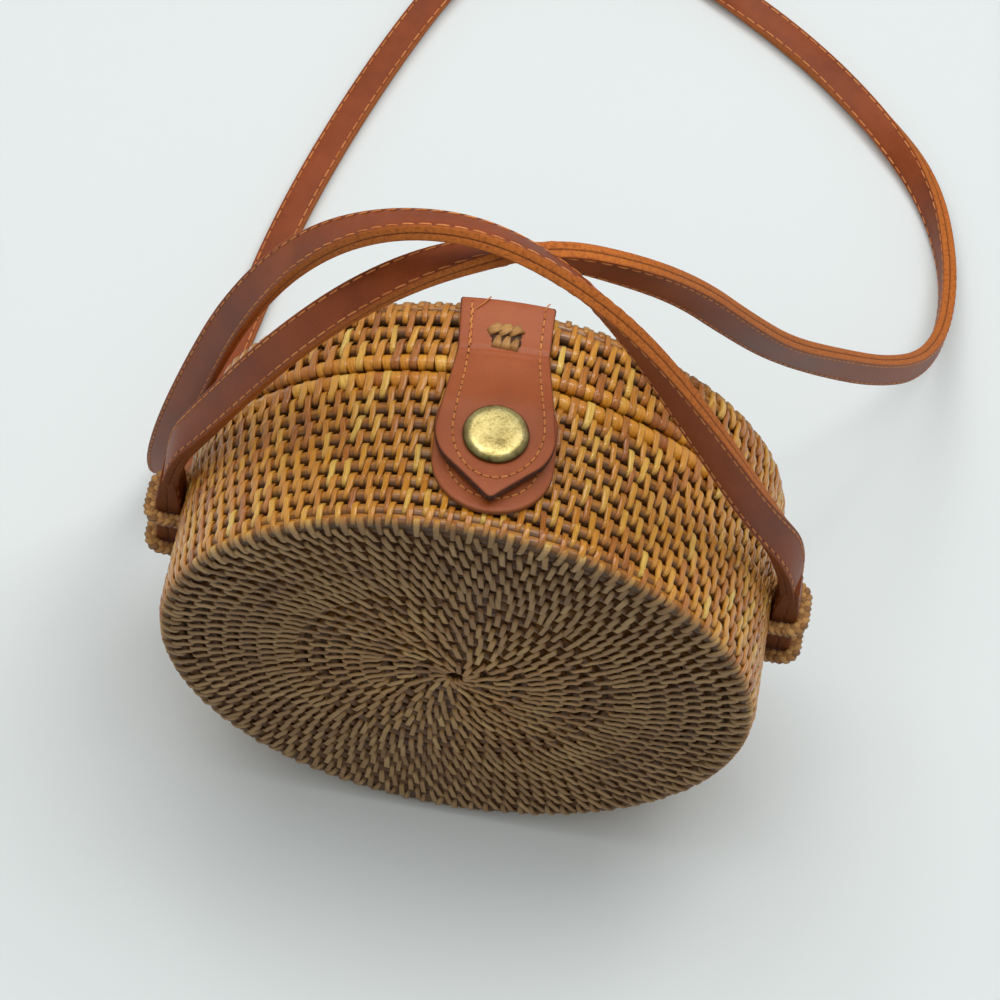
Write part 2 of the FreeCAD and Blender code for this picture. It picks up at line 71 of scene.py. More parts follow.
class Reading:
    # one socket of a finish, on which plain arithmetic works
    def __init__(self, finish, socket):
        self.finish = finish
        self.socket = socket

    def maths(self, operation, *values):
        return self.finish.node("ShaderNodeMath", {"operation": operation}, dict(enumerate(values)))

    def __add__(self, other):
        return self.maths("ADD", self, other)

    def __radd__(self, other):
        return self.maths("ADD", other, self)

    def __sub__(self, other):
        return self.maths("SUBTRACT", self, other)

    def __rsub__(self, other):
        return self.maths("SUBTRACT", other, self)

    def __mul__(self, other):
        return self.maths("MULTIPLY", self, other)

    def __rmul__(self, other):
        return self.maths("MULTIPLY", other, self)

    def __pow__(self, other):
        return self.maths("POWER", self, other)

    def __abs__(self):
        return self.maths("ABSOLUTE", self)

    def wave(self):
        return self.maths("SINE", self)

    def between(self, low, high):
        # 0 below low, 1 above high
        sockets = {"Value": self, "From Min": low, "From Max": high}
        return self.finish.node("ShaderNodeMapRange", {"clamp": True}, sockets)


class Finish:
    # a material that is built up node by node
    def __init__(self, name, **constants):
        self.material = bpy.data.materials.new(name)
        self.material.use_nodes = True
        self.tree = self.material.node_tree
        self.shader = self.tree.nodes["Principled BSDF"]
        for socket, value in constants.items():
            self.shader.inputs[socket.replace("_", " ")].default_value = value

    def node(self, kind, settings=None, sockets=None, output=0):
        made = self.tree.nodes.new(kind)
        for setting, value in (settings or {}).items():
            if setting == "stops":
                self.setStops(made.color_ramp, value)
            else:
                setattr(made, setting, value)
        for socket, value in (sockets or {}).items():
            self.feed(made.inputs[socket], value)
        return Reading(self, made.outputs[output])

    def setStops(self, ramp, stops):
        while len(ramp.elements) < len(stops):
            ramp.elements.new(1)
        for element, (place, colour) in zip(ramp.elements, stops):
            element.position = place
            element.color = colour

    def feed(self, socket, value):
        if isinstance(value, Reading):
            self.tree.links.new(value.socket, socket)
        else:
            socket.default_value = value

    def place(self):
        return self.node("ShaderNodeTexCoord", output="Object")

    def layer(self, name):
        return self.node("ShaderNodeAttribute", {"attribute_name": name}, output="Vector")

    def parts(self, vector):
        return [self.node("ShaderNodeSeparateXYZ", {}, {0: vector}, part) for part in range(3)]

    def joined(self, x, y, z):
        return self.node("ShaderNodeCombineXYZ", {}, {0: x, 1: y, 2: z})

    def noise(self, vector, scale, detail=3, roughness=0.55):
        sockets = {"Vector": vector, "Scale": scale, "Detail": detail, "Roughness": roughness}
        return self.node("ShaderNodeTexNoise", {}, sockets)

    def ramp(self, value, stops):
        return self.node("ShaderNodeValToRGB", {"stops": stops}, {0: value})

    def mix(self, share, first, second):
        sockets = {0: share, 6: first, 7: second}
        return self.node("ShaderNodeMix", {"data_type": "RGBA"}, sockets, 2)

    def bump(self, height, strength, distance):
        sockets = {"Height": height, "Strength": strength, "Distance": distance}
        self.feed(self.shader.inputs["Normal"], self.node("ShaderNodeBump", {}, sockets))

    def show(self, **readings):
        for socket, value in readings.items():
            self.feed(self.shader.inputs[socket.replace("_", " ")], value)
        return self.material


def newPiece(name, points, faces, layers, material):
    mesh = bpy.data.meshes.new(name)
    mesh.from_pydata([tuple(point) for point in points], [], faces)
    piece = bpy.data.objects.new(name, mesh)
    bpy.context.scene.collection.objects.link(piece)
    return finished(piece, layers, material)


def finished(piece, layers, material):
    # smooth faces, the values that the finish reads, and the finish itself
    mesh = piece.data
    for label, values in layers.items():
        layer = mesh.attributes.new(label, "FLOAT_VECTOR", "POINT")
        layer.data.foreach_set("vector", np.asarray(values, dtype=np.float32).ravel())
    mesh.polygons.foreach_set("use_smooth", [True] * len(mesh.polygons))
    mesh.materials.append(material)
    return piece


def belongs(piece, body, slot, *nodes):
    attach(piece, body)
    if nodes:
        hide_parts(*nodes)
    return piece


def outward(points, faces):
    # faces of one closed form, turned so that they face out
    volume = 0
    for face in faces:
        first = points[face[0]]
        for second, third in zip(face[1:-1], face[2:]):
            volume += np.dot(first, np.cross(points[second], points[third]))
    return faces if volume > 0 else [face[::-1] for face in faces]


def ringFaces(rings, sides, closed=False):
    # skin over a row of rings, joined end to end or closed at both ends
    faces = []
    for ring in range(rings if closed else rings - 1):
        beyond = (ring + 1) % rings * sides
        for side in range(sides):
            beside = (side + 1) % sides
            low = ring * sides
            faces.append([low + side, low + beside, beyond + beside, beyond + side])
    if not closed:
        faces.append(list(range(sides))[::-1])
        faces.append([(rings - 1) * sides + side for side in range(sides)])
    return faces


def unit(vectors):
    return vectors / np.linalg.norm(vectors, axis=-1, keepdims=True)


def editMode():
    bpy.ops.object.mode_set(mode="EDIT")


def objectMode():
    bpy.ops.object.mode_set(mode="OBJECT")


def selectAll():
    bpy.ops.mesh.select_all(action="SELECT")


def deselect():
    bpy.ops.object.select_all(action="DESELECT")


def pickPoints(piece, chosen):
    # in object mode: only the chosen points of a piece are selected
    mesh = piece.data
    mesh.edges.foreach_set("select", [False] * len(mesh.edges))
    mesh.polygons.foreach_set("select", [False] * len(mesh.polygons))
    mesh.vertices.foreach_set("select", [bool(choice) for choice in chosen])


def pointsOf(piece):
    flat = np.empty(len(piece.data.vertices) * 3, dtype=np.float32)
    piece.data.vertices.foreach_get("co", flat)
    return flat.reshape(-1, 3).astype(float)


def facesOf(piece):
    return [list(face.vertices) for face in piece.data.polygons]


def setPoints(piece, points):
    piece.data.vertices.foreach_set("co", np.asarray(points, dtype=np.float32).ravel())
    piece.data.update()


# Camera at the photograph's angle.
camera = {
    "place": (0.03136, -0.52420, 1.04106),
    "turn": (29.904, -3.775, 9.439),  # degrees
    "lens": 129.21,
    "sensor": 36,
}


def setCamera():
    turn = [math.radians(angle) for angle in camera["turn"]]
    bpy.ops.object.camera_add(location=camera["place"], rotation=turn)
    eye = bpy.context.object
    eye.data.lens = camera["lens"]
    eye.data.sensor_width = camera["sensor"]
    bpy.context.scene.camera = eye


# Pale floor and soft light from above.
studio = {
    "floorSize": 8,
    "floorDrop": 0.0002,
    "floorColour": tint(217, 222, 221),
    "floorShade": tint(199, 204, 204),
    "ambient": 0.40,
    "ambientColour": tint(238, 243, 244),
    "lamps": [  # place, size, watts; all are aimed at the bag
        ((0.42, 0.34, 1.40), 0.7, 8.4),
        ((-0.38, 0.28, 1.45), 0.9, 7.4),
        ((-0.10, -0.45, 1.55), 1.2, 5.4),
        ((-0.14, 0.80, 1.15), 0.6, 1.0),
    ],
}


def setStudio():
    bpy.ops.mesh.primitive_plane_add(size=studio["floorSize"], location=(0, 0, -studio["floorDrop"]))
    floor = bpy.context.object
    floor.name = "floor"
    paper = Finish("floorPaper", Roughness=0.8)
    mottle = paper.noise(paper.place(), 9, 4) * 0.08
    colour = paper.mix(mottle, studio["floorColour"], studio["floorShade"])
    floor.data.materials.append(paper.show(Base_Color=colour))
    for place, size, watts in studio["lamps"]:
        bpy.ops.object.light_add(type="AREA", location=place)
        lamp = bpy.context.object
        lamp.data.size = size
        lamp.data.energy = watts
        aim = Vector((0, 0, drumAxis)) - Vector(place)
        lamp.rotation_euler = aim.to_track_quat("-Z", "Y").to_euler()
    world = bpy.data.worlds.new("studioAir")
    world.use_nodes = True
    bpy.context.scene.world = world
    glow = world.node_tree.nodes["Background"]
    glow.inputs["Color"].default_value = studio["ambientColour"]
    glow.inputs["Strength"].default_value = studio["ambient"]
    bpy.context.scene.view_settings.view_transform = "Standard"


setCamera()
setStudio()
print("camera and studio set")


# Leather of the strap and the tab: its layer holds raw edge, sewn line, and the joint of two layers, which
# also carries painted shade on the strap's raw edges near the loops.
def leatherFinish(name, deep, main, bright, raw, shine):
    finish = Finish(name, Specular_IOR_Level=shine)
    place = finish.place()
    edge, seam, jointAndShade = finish.parts(finish.layer("leather"))
    cloud = finish.noise(place, 30, 4, 0.6)
    speck = finish.noise(place, 1900, 2, 0.6)
    cells = {"Vector": place, "Scale": 1700}
    pores = finish.node("ShaderNodeTexVoronoi", {"feature": "DISTANCE_TO_EDGE"}, cells)
    hide = finish.ramp(cloud * 0.75 + speck * 0.25, [(0.34, deep), (0.5, main), (0.68, bright)])
    hide = finish.mix(seam * 0.45, hide, tint(84, 40, 24))
    fuzz = finish.noise(place, 1000, 4, 0.75)
    cut = finish.mix(fuzz.between(0.44, 0.8), raw, deep)
    # dark joint of the two layers, and painted shade on the strap's raw edges near the loops
    cut = finish.mix(jointAndShade * 0.85, cut, tint(56, 28, 18))
    colour = finish.mix(edge, hide, cut)
    crease = pores.between(0, 0.1)
    finish.bump(crease * 0.35 + speck * 0.5 + edge * fuzz * 2, 0.3, 0.0002)
    gloss = 0.34 + 0.14 * cloud + 0.12 * speck + 0.3 * edge
    return finish.show(Base_Color=colour, Roughness=gloss)


def threadFinish(name, main, light):
    finish = Finish(name, Specular_IOR_Level=0.15)
    across, along, tone = finish.parts(finish.layer("strand"))
    plies = (along * 40 + across * 3).wave()
    colour = finish.mix(tone * 0.6 + plies * 0.2 + 0.2, main, light)
    # painted shade at both ends of each stitch, for the needle holes
    holeShade = abs(along * 2 - 1).between(0.45, 0.7)
    colour = finish.mix(holeShade, colour, tint(104, 48, 22))
    finish.bump(plies, 0.3, 0.0001)
    return finish.show(Base_Color=colour, Roughness=0.5 + 0.12 * tone)


strapHide = [tint(104, 44, 14), tint(127, 57, 20), tint(146, 70, 29)]
tabHide = [tint(134, 61, 21), tint(152, 73, 27), tint(168, 87, 41)]
strapLeather = leatherFinish("strapLeather", *strapHide, tint(184, 102, 38), 0.24)
# its raw edge is darker than the patch's: partly the edge's own colour, partly painted shade for the gap
# under the flap
tabLeather = leatherFinish("tabLeather", *tabHide, tint(48, 26, 17), 0.42)
patchLeather = leatherFinish("patchLeather", *tabHide, tint(132, 76, 36), 0.42)
cognacThread = threadFinish("cognacThread", tint(176, 98, 46), tint(214, 144, 84))


# The strap: two layers sewn along both edges. Each point of its route has the
# direction of the strap's width beside it. Metres.
strap = {
    "width": 0.0102,
    "thickness": 0.0046,
    "length": 1.543,
    "steps": 10,  # samples of the line for each point of the route
    "stitchPitch": 0.0046,
    "stitchLength": 0.0036,
    "stitchInset": 0.0010,
    "stitchSeat": 0.94,  # part of the half thickness at which the stitches lie
    "threadRadius": 0.00024,
    "endSteps": 34,
    "endThickness": 0.0076,  # folded double inside the loops
    "endProud": 0.0001,  # the fold is this much wider on each side
    "endRise": 0.012,  # and reaches this far up the strap
    "endLeast": 0.02,  # part of its thickness at its start
    "endRound": 0.004,
    "endTaper": (0.55, 0.45),  # how much the tip narrows and thins
    "worn": 0.8,  # painted shade on the raw edges near the loops
    "edgeShadeBelow": (0.118, 0.165),  # full up to the first height, and none above the second
    "edgeShadeWidth": 0.075,  # only further out than this
    "edgeShadeBack": 0.02,  # and only in front of this
    "route": [
        ((-0.094, 0.0032, 0.103), (0, -1, 0)),
        ((-0.094, 0.0032, 0.124), (1, -9, -1)),
        ((-0.083, 0.002, 0.150), (5, -8, -3)),
        ((-0.061, -0.0004, 0.199), (6, -7, -3)),
        ((-0.038, 0.0020, 0.232), (4, -9, -2)),
        ((-0.014, 0.0062, 0.250), (1, -9, 2)),
        ((0.009, 0.0108, 0.252), (2, -2, 9)),
        ((0.031, 0.016, 0.242), (6, 1, 8)),
        ((0.048, 0.031, 0.214), (8, 2, 5)),
        ((0.063, 0.046, 0.180), (9, 2, 5)),
        ((0.078, 0.063, 0.145), (9, 2, 5)),
        ((0.096, 0.086, 0.107), (7, 4, 6)),
        ((0.115, 0.110, 0.070), (6, 5, 6)),
        ((0.131, 0.137, 0.036), (2, 3, 9)),
        ((0.140, 0.168, 0.013), (0, 0, 1)),
        ((0.140, 0.200, 0.006), (0, 0, 1)),
        ((0.129, 0.232, 0.006), (3, 2, 7)),
        ((0.108, 0.258, 0.005), (6, 6, 4)),
        ((0.080, 0.284, 0.004), (6, 7, 1)),
        ((0.048, 0.304, 0.005), (4, 7, 4)),
        ((0.017, 0.320, 0.006), (1, 4, 9)),
        ((-0.016, 0.322, 0.006), (0, 0, 1)),
        ((-0.042, 0.307, 0.006), (-6, 4, 6)),
        ((-0.0575, 0.280, 0.004), (-9, 4, 2)),
        ((-0.076, 0.228, 0.003), (-9, 3, 0)),
        ((-0.0905, 0.172, 0.003), (-9, 2, 0)),
        ((-0.098, 0.118, 0.003), (-9, 1, 0)),
        ((-0.1035, 0.078, 0.006), (-1, 0, 0)),
        ((-0.106, 0.052, 0.026), (-1, 0, 0)),
        ((-0.1045, 0.036, 0.062), (-9, 2, 0)),
        ((-0.098, 0.025, 0.104), (-9, 4, 0)),
        ((-0.0885, 0.0195, 0.146), (-9, 5, 1)),
        ((-0.0765, 0.0165, 0.189), (-7, 7, -1)),
        ((-0.0585, 0.0125, 0.230), (-4, 8, -3)),
        ((-0.036, 0.008, 0.256), (-1, 9, -5)),
        ((-0.011, 0.005, 0.265), (0, 8, -5)),
        ((0.0135, 0.0005, 0.259), (0, 7, -7)),
        ((0.0345, -0.0035, 0.241), (-6, 5, -6)),
        ((0.0558, -0.0063, 0.208), (-9, 1, -5)),
        ((0.077, -0.004, 0.164), (-8, -3, -4)),
        ((0.094, 0.0032, 0.126), (-3, -9, -1)),
        ((0.094, 0.0032, 0.103), (0, -1, 0)),
    ],
    # half of the section: parts of the half width and half thickness, then raw edge, sewn line and joint
    "section": [
        (0.95, 0.0, 1, 0, 1), (0.995, 0.09, 1, 0, 0.25), (1.0, 0.20, 1, 0, 0), (1.0, 0.78, 1, 0, 0),
        (0.99, 0.92, 0.8, 0, 0), (0.95, 0.99, 0.1, 0, 0), (0.88, 1.0, 0, 0, 0), (0.80, 0.95, 0, 1, 0),
        (0.72, 1.0, 0, 0, 0), (0.3, 1.03, 0, 0, 0), (-0.3, 1.03, 0, 0, 0), (-0.72, 1.0, 0, 0, 0),
        (-0.80, 0.95, 0, 1, 0), (-0.88, 1.0, 0, 0, 0), (-0.95, 0.99, 0.1, 0, 0), (-0.99, 0.92, 0.8, 0, 0),
        (-1.0, 0.78, 1, 0, 0), (-1.0, 0.20, 1, 0, 0), (-0.995, 0.09, 1, 0, 0.25),
    ],
}


def smoothLine(points, steps):
    # the smooth line of a route, as close points
    curve = bpy.data.curves.new("smoothLine", "CURVE")
    curve.dimensions = "3D"
    curve.resolution_u = steps
    spline = curve.splines.new("NURBS")
    spline.points.add(len(points) - 1)
    for control, point in zip(spline.points, points):
        control.co = (*point, 1)
    spline.order_u = 3
    spline.use_endpoint_u = True
    holder = bpy.data.objects.new("smoothLine", curve)
    bpy.context.scene.collection.objects.link(holder)
    mesh = bpy.data.meshes.new_from_object(holder)
    line = np.array([vertex.co[:] for vertex in mesh.vertices])
    bpy.data.objects.remove(holder)
    bpy.data.meshes.remove(mesh)
    bpy.data.curves.remove(curve)
    return line


def runningFrames(line, edges):
    # along the line, across the band and up out of it, at every point
    along = unit(np.gradient(line, axis=0))
    across = unit(edges - along * np.sum(edges * along, axis=1, keepdims=True))
    return along, across, np.cross(along, across)


def bandPiece(name, line, across, up, scales, material):
    # the strap's section carried along a line; scales are half width and half thickness
    half = np.array(strap["section"])
    section = np.concatenate([half, half * [-1, -1, 1, 1, 1]])
    rings = line[:, None] + across[:, None] * section[None, :, 0:1] * scales[:, None, 0:1]
    rings = rings + up[:, None] * section[None, :, 1:2] * scales[:, None, 1:2]
    points = rings.reshape(-1, 3)
    layer = np.tile(section[:, 2:5], (len(line), 1))
    # painted shade: raw edges near the loops are darkened as if in shadow, through the joint's channel
    worn = np.interp(points[:, 2], strap["edgeShadeBelow"], [strap["worn"], 0])
    worn = worn * (np.abs(points[:, 0]) > strap["edgeShadeWidth"]) * (points[:, 1] < strap["edgeShadeBack"])
    layer[:, 2] = np.maximum(layer[:, 2], worn)
    faces = outward(points, ringFaces(len(line), len(section)))
    return newPiece(name, points, faces, {"leather": layer}, material)


def strandMaster(sides, stations, square=False):
    # a strand drawn out step by step; its stations are along, height, half width, half thickness, aside
    deselect()
    bpy.ops.mesh.primitive_circle_add(
        vertices=sides, radius=1, fill_type="NGON", rotation=(quarterTurn, math.pi / sides, 0),
    )
    start = bpy.context.object
    bpy.ops.object.transform_apply()
    if square:  # the round section becomes a flat strip with softened edges
        for axis, grow in ((0, (1.9, 1, 1)), (2, (1, 1, 1.6))):
            pickPoints(start, np.abs(pointsOf(start)[:, axis]) < 0.5)  # those near the middle move out
            editMode()
            bpy.ops.transform.resize(value=grow, center_override=(0, 0, 0))
            objectMode()
    editMode()
    selectAll()
    here = np.zeros(3)
    size = np.array([1.0, 1.0])
    for count, (along, height, width, thickness, aside) in enumerate(stations):
        there = np.array([aside, along, height])
        if count:
            bpy.ops.mesh.extrude_region_move(TRANSFORM_OT_translate={"value": tuple(there - here)})
        else:
            bpy.ops.transform.translate(value=tuple(there))
        here = there
        grow = (width / size[0], 1, thickness / size[1])
        bpy.ops.transform.resize(value=grow, center_override=tuple(there))
        size = np.array([width, thickness])
    objectMode()
    points = pointsOf(start)
    faces = facesOf(start)
    bpy.data.objects.remove(start)
    ring = np.arange(len(points)) // sides
    widths, asides = (np.array([station[part] for station in stations])[ring] for part in (2, 4))
    marks = np.stack([(points[:, 0] - asides) / widths, ring / (len(stations) - 1)], axis=1)
    return {"points": points, "faces": faces, "marks": marks}


def copiesPiece(name, master, placed, tones, material):
    # every copy of a strand in one piece, each with its own tone
    count, size = placed.shape[:2]
    base = outward(placed[0], master["faces"])
    faces = [[copy * size + corner for corner in face] for copy in range(count) for face in base]
    layer = np.zeros((count, size, 3))
    layer[:, :, :2] = master["marks"]
    layer[:, :, 2] = np.asarray(tones)[:, None]
    return newPiece(name, placed.reshape(-1, 3), faces, {"strand": layer.reshape(-1, 3)}, material)


def threadMaster(length, radius):
    # its ends lie flat; the finish paints shade at them for the needle holes
    half = length / 2
    rise = [
        (half + 1.9 * radius, 0.1, 0.5, 0.12), (half + 0.9 * radius, 0.2, 1.1, 0.2),
        (half - 0.5 * radius, 0.2, 1.0, 0.6), (0.5 * half, 0.5, 1.1, 0.95),
    ]
    rise += [(-along, *sizes) for along, *sizes in rise[::-1]]
    stations = [(along, *(size * radius for size in sizes), 0) for along, *sizes in rise]
    return strandMaster(6, stations)


def sewn(name, master, middles, along, across, up, material):
    # stitches laid on a surface, each along its seam
    local = master["points"]
    placed = middles[:, None] + across[:, None] * local[None, :, 0:1]
    placed = placed + along[:, None] * local[None, :, 1:2] + up[:, None] * local[None, :, 2:3]
    tones = np.random.default_rng(seed).random(len(middles))
    return copiesPiece(name, master, placed, tones, material)


def runLengths(line):
    # how far along a line each of its points is
    return np.concatenate([[0], np.cumsum(np.linalg.norm(np.diff(line, axis=0), axis=1))])


def spaced(line, pitch):
    # places at an even distance along a line: the sample before each, and how far past it
    lengths = runLengths(line)
    marks = np.arange(pitch / 2, lengths[-1] - pitch / 2, pitch)
    before = np.clip(np.searchsorted(lengths, marks) - 1, 0, len(line) - 2)
    share = (marks - lengths[before]) / (lengths[before + 1] - lengths[before])
    return before, share[:, None]


def evenly(flat, step):
    # points at an even distance along a flat line, and how far along it they are
    lengths = runLengths(flat)
    marks = np.arange(0, lengths[-1], step)
    return np.stack([np.interp(marks, lengths, flat[:, axis]) for axis in (0, 1)], axis=1), marks


def bandThread(name, line, along, across, up, scales):
    # stitches near both edges, on both faces of a band
    before, share = spaced(line, strap["stitchPitch"])
    seams = []
    for side in (-1, 1):
        for face in (-1, 1):
            reach = side * (scales[:, 0:1] - strap["stitchInset"])
            lift = face * scales[:, 1:2] * strap["stitchSeat"]
            run = line + across * reach + up * lift
            middles = run[before] + (run[before + 1] - run[before]) * share
            seams.append((middles, along[before], across[before] * face, up[before] * face))
    stacked = [np.concatenate(part) for part in zip(*seams)]
    master = threadMaster(strap["stitchLength"], strap["threadRadius"])
    return sewn(name, master, *stacked, cognacThread)


def strapEnd(side):
    # the strap's end, folded double inside the loops
    node = "strap_end_" + side
    low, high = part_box(node)
    middle = (low + high) / 2
    top = high.z + strap["endRise"]
    z = np.linspace(top, low.z, strap["endSteps"])
    line = np.stack([np.full_like(z, middle.x), np.full_like(z, middle.y), z], axis=1)
    along, across, up = runningFrames(line, np.tile([0.0, 1.0, 0.0], (len(z), 1)))
    corner = np.clip(1 - (z - low.z) / strap["endRound"], 0, 1)
    narrow, thin = strap["endTaper"]
    width = strap["width"] / 2 + strap["endProud"]
    width = width - strap["endRound"] * narrow * (1 - np.sqrt(1 - corner ** 2))
    doubled = np.clip((top - z) / strap["endRise"], strap["endLeast"], 1)
    thick = strap["thickness"] / 2 + (strap["endThickness"] - strap["thickness"]) / 2 * doubled
    scales = np.stack([width, thick * (1 - thin * corner ** 3)], axis=1)
    band = bandPiece("strapEnd" + side.capitalize(), line, across, up, scales, strapLeather)
    thread = bandThread("strapEndThread" + side.capitalize(), line, along, across, up, scales)
    return [belongs(band, "front", "strap_leather", node), belongs(thread, "front", "strap_leather")]


def makeStrap():
    route = [np.array(point) for point, _ in strap["route"]]
    edges = [unit(np.array(edge, dtype=float)) for _, edge in strap["route"]]
    line = smoothLine(route, strap["steps"])
    beside = [point + edge * strap["width"] for point, edge in zip(route, edges)]
    tips = smoothLine(beside, strap["steps"])
    along, across, up = runningFrames(line, tips - line)
    scales = np.tile([strap["width"] / 2, strap["thickness"] / 2], (len(line), 1))
    band = bandPiece("strapBand", line, across, up, scales, strapLeather)
    belongs(band, "front", "strap_leather", "strap")
    thread = bandThread("strapThread", line, along, across, up, scales)
    belongs(thread, "front", "strap_leather")
    ends = strapEnd("left") + strapEnd("right")
    [thread] + ends


makeStrap()
print("strap sewn")

# Cane of the weave: a strand's layer holds across, along and tone. Golden and glossy on the wall,
# dull grey-brown where the rows turn onto the round faces: partly the faces' own duller cane, partly painted
# shade, as the faces turn away from the lamps.
faceDepth = {"wall": 0.0352, "face": 0.0376}  # from the middle plane, both ways


def faceShare(finish):
    _, depth, _ = finish.parts(finish.place())
    return abs(depth).between(faceDepth["wall"], faceDepth["face"])


def caneFinish(name, wallStops, faceStops, rough, endShade, coat):
    finish = Finish(name, Coat_Roughness=0.1)
    across, along, tone = finish.parts(finish.layer("strand"))
    face = faceShare(finish)
    streak = finish.noise(finish.joined(across * 2.2, along * 1.3, tone * 60), 1.6, 3, 0.6)
    fibre = finish.noise(finish.joined(across * 9, along * 0.9, tone * 90), 1.5, 2, 0.6)
    stain = finish.noise(finish.place(), 38, 3, 0.6)
    shade = tone * 0.75 + streak * 0.5 + stain * 0.3 - 0.28
    # the faces' grey-brown stops hold painted shade as well as duller cane
    colour = finish.mix(face, finish.ramp(shade, wallStops), finish.ramp(shade, faceStops))
    # painted shade at the strands' ends, where they dive out of sight
    ends = abs(along * 2 - 1) ** 5
    colour = finish.mix(ends * endShade, colour, tint(52, 32, 18))
    # painted shade along the strand's edges, where neighbouring strands meet
    colour = finish.mix(abs(across) ** 5 * 0.6, colour, tint(58, 32, 14))
    finish.bump(fibre * 0.9 + streak * 1.1, 0.9, 0.0005)
    gloss = rough + 0.24 * streak + 0.1 * fibre + 0.2 * face
    return finish.show(Base_Color=colour, Roughness=gloss, Coat_Weight=coat - coat * face)


def coreFinish(name, wallStops, faceStops, rough):
    # the bundles inside the rows: fibres run round the drum
    finish = Finish(name, Coat_Roughness=0.2)
    around, over, _ = finish.parts(finish.node("ShaderNodeTexCoord", output="UV"))
    face = faceShare(finish)
    fibre = finish.noise(finish.joined(around * 60, over * 22, 0), 1, 3, 0.6)
    blotch = finish.noise(finish.place(), 130, 2)
    shade = fibre * 0.55 + blotch * 0.45
    colour = finish.mix(face, finish.ramp(shade, wallStops), finish.ramp(shade, faceStops))
    # painted shade in the valleys between the wall's rows
    valleyShade = abs(over - 0.5).between(0.07, 0.24) * (1 - face)
    colour = finish.mix(valleyShade * 0.85, colour, tint(36, 19, 6))
    finish.bump(fibre, 0.6, 0.0004)
    gloss = rough + 0.15 * blotch + 0.15 * face
    return finish.show(Base_Color=colour, Roughness=gloss, Coat_Weight=0.45 - 0.45 * face)


goldStops = [
    (0.0, tint(148, 80, 9)), (0.3, tint(198, 115, 15)),
    (0.6, tint(234, 158, 31)), (0.95, tint(254, 214, 100)),
]
greyStops = [
    (0.0, tint(110, 78, 48)), (0.35, tint(160, 121, 76)),
    (0.7, tint(180, 141, 92)), (1.0, tint(202, 164, 112)),
]
tanStops = [
    (0.0, tint(130, 84, 40)), (0.35, tint(184, 130, 68)),
    (0.7, tint(208, 156, 88)), (1.0, tint(226, 182, 118)),
]
goldCore = [(0.3, tint(104, 58, 14)), (0.5, tint(172, 108, 28)), (0.7, tint(212, 150, 52))]
# the faces' bundles are darker than the wall's: partly duller cane, partly painted shade in the deep windows
# between the face's stitches
greyCore = [(0.3, tint(34, 22, 13)), (0.5, tint(62, 43, 27)), (0.7, tint(94, 70, 46))]
# the fifth value is the painted shade at the strands' ends
wovenCane = caneFinish("wovenCane", goldStops, greyStops, 0.28, 0.8, 0.75)
cordCane = caneFinish("cordCane", tanStops, tanStops, 0.4, 0.0, 0.15)
lashCane = caneFinish("lashCane", tanStops, tanStops, 0.4, 0.85, 0.1)
coreCane = coreFinish("coreCane", goldCore, greyCore, 0.42)

# Coiled rows of both halves: bundles laid round and round, each sewn to the row inside it.
weave = {
    "cornerRound": 0.0045,
    "faceDish": 0.0012,
    "holeRadius": 0.0022,
    "firstRow": 0.0062,
    "facePitch": 0.005175,
    "faceRows": 16,
    "wallPitch": 0.0048,
    "faceSink": 0.0011,  # the bundles lie this far below the stitches
    "wallSink": 0.0006,
    "faceCore": 0.0020,
    "wallCore": 0.00222,
    "firstStitches": 13,
    "widestGap": 0.0059,
    "faceStep": 0.68,  # how far a row's stitches stand on from the last row's, in stitches
    "wallStep": 0.31,
    "rimDepth": 0.0028,  # the rim row's middle, from the mouth
    "rimCore": 0.0023,
    "rimProud": 0.0003,
    "rimStitchProud": 0.0002,  # the rim's stitches stand this much higher still
    "rimStitchWider": 1.25,
    "rimWrapRoom": 0.0004,  # the bundle inside the windings is this much thinner
    "hingeSink": 0.0015,  # the rims are bound tighter where the lid turns on them
    "hingeHalf": (0.19, 0.30),  # radians from the bottom: full, and none
    "wrapWidth": 0.0041,
    "wrapThick": 0.00034,
    "wrapOval": 1.04,
    "wrapSlant": 0.22,
    "coreSegments": 144,
    "coreSides": 10,
}
# how uneven the stitches and windings are: the spread of each value
uneven = {
    "place": 0.05,  # in stitches
    "length": 0.025,
    "width": 0.07,
    "lean": 0.06,
    "height": 0.00008,
    "winding": 0.02,
    "rowTone": 0.05,
    "tone": 0.18,
    "stitchTone": 0.53,  # the middle tones
    "wrapTone": 0.5,
}
# stitches from their square heads to their tails: along, height, half width, half thickness, aside, in mm
wallStitch = {
    "rowPitch": 4.8,  # the row pitch that its stations are drawn for
    "stations": [
        (2.45, -2.10, 0.95, 0.36, 0.0), (1.95, -1.05, 1.06, 0.46, 0.0), (0.75, -0.52, 1.06, 0.50, 0.0),
        (-0.7, -0.46, 1.0, 0.50, 0.0), (-2.4, -0.74, 0.95, 0.48, 0.02), (-4.2, -0.50, 0.90, 0.46, 0.10),
        (-5.8, -0.74, 0.80, 0.42, 0.28), (-6.8, -1.75, 0.62, 0.34, 0.50),
    ],
}
faceStitch = {
    "rowPitch": 5.175,
    "stations": [
        (2.15, -1.65, 0.86, 0.22, 0.50), (1.75, -0.72, 0.90, 0.26, 0.42), (0.4, -0.32, 0.92, 0.28, 0.12),
        (-1.6, -0.48, 0.90, 0.28, -0.38), (-3.5, -0.32, 0.88, 0.28, -0.86), (-4.7, -0.66, 0.86, 0.26, -1.16),
        (-5.2, -1.65, 0.80, 0.22, -1.30),
    ],
}
halves = {
    "front": {"face": frontLow.y, "inward": 1, "mouth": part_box("front_rim_hoop")[1].y, "turn": -1},
    "lid": {"face": lidHigh.y, "inward": -1, "mouth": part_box("lid_rim_hoop")[0].y, "turn": 1},
}


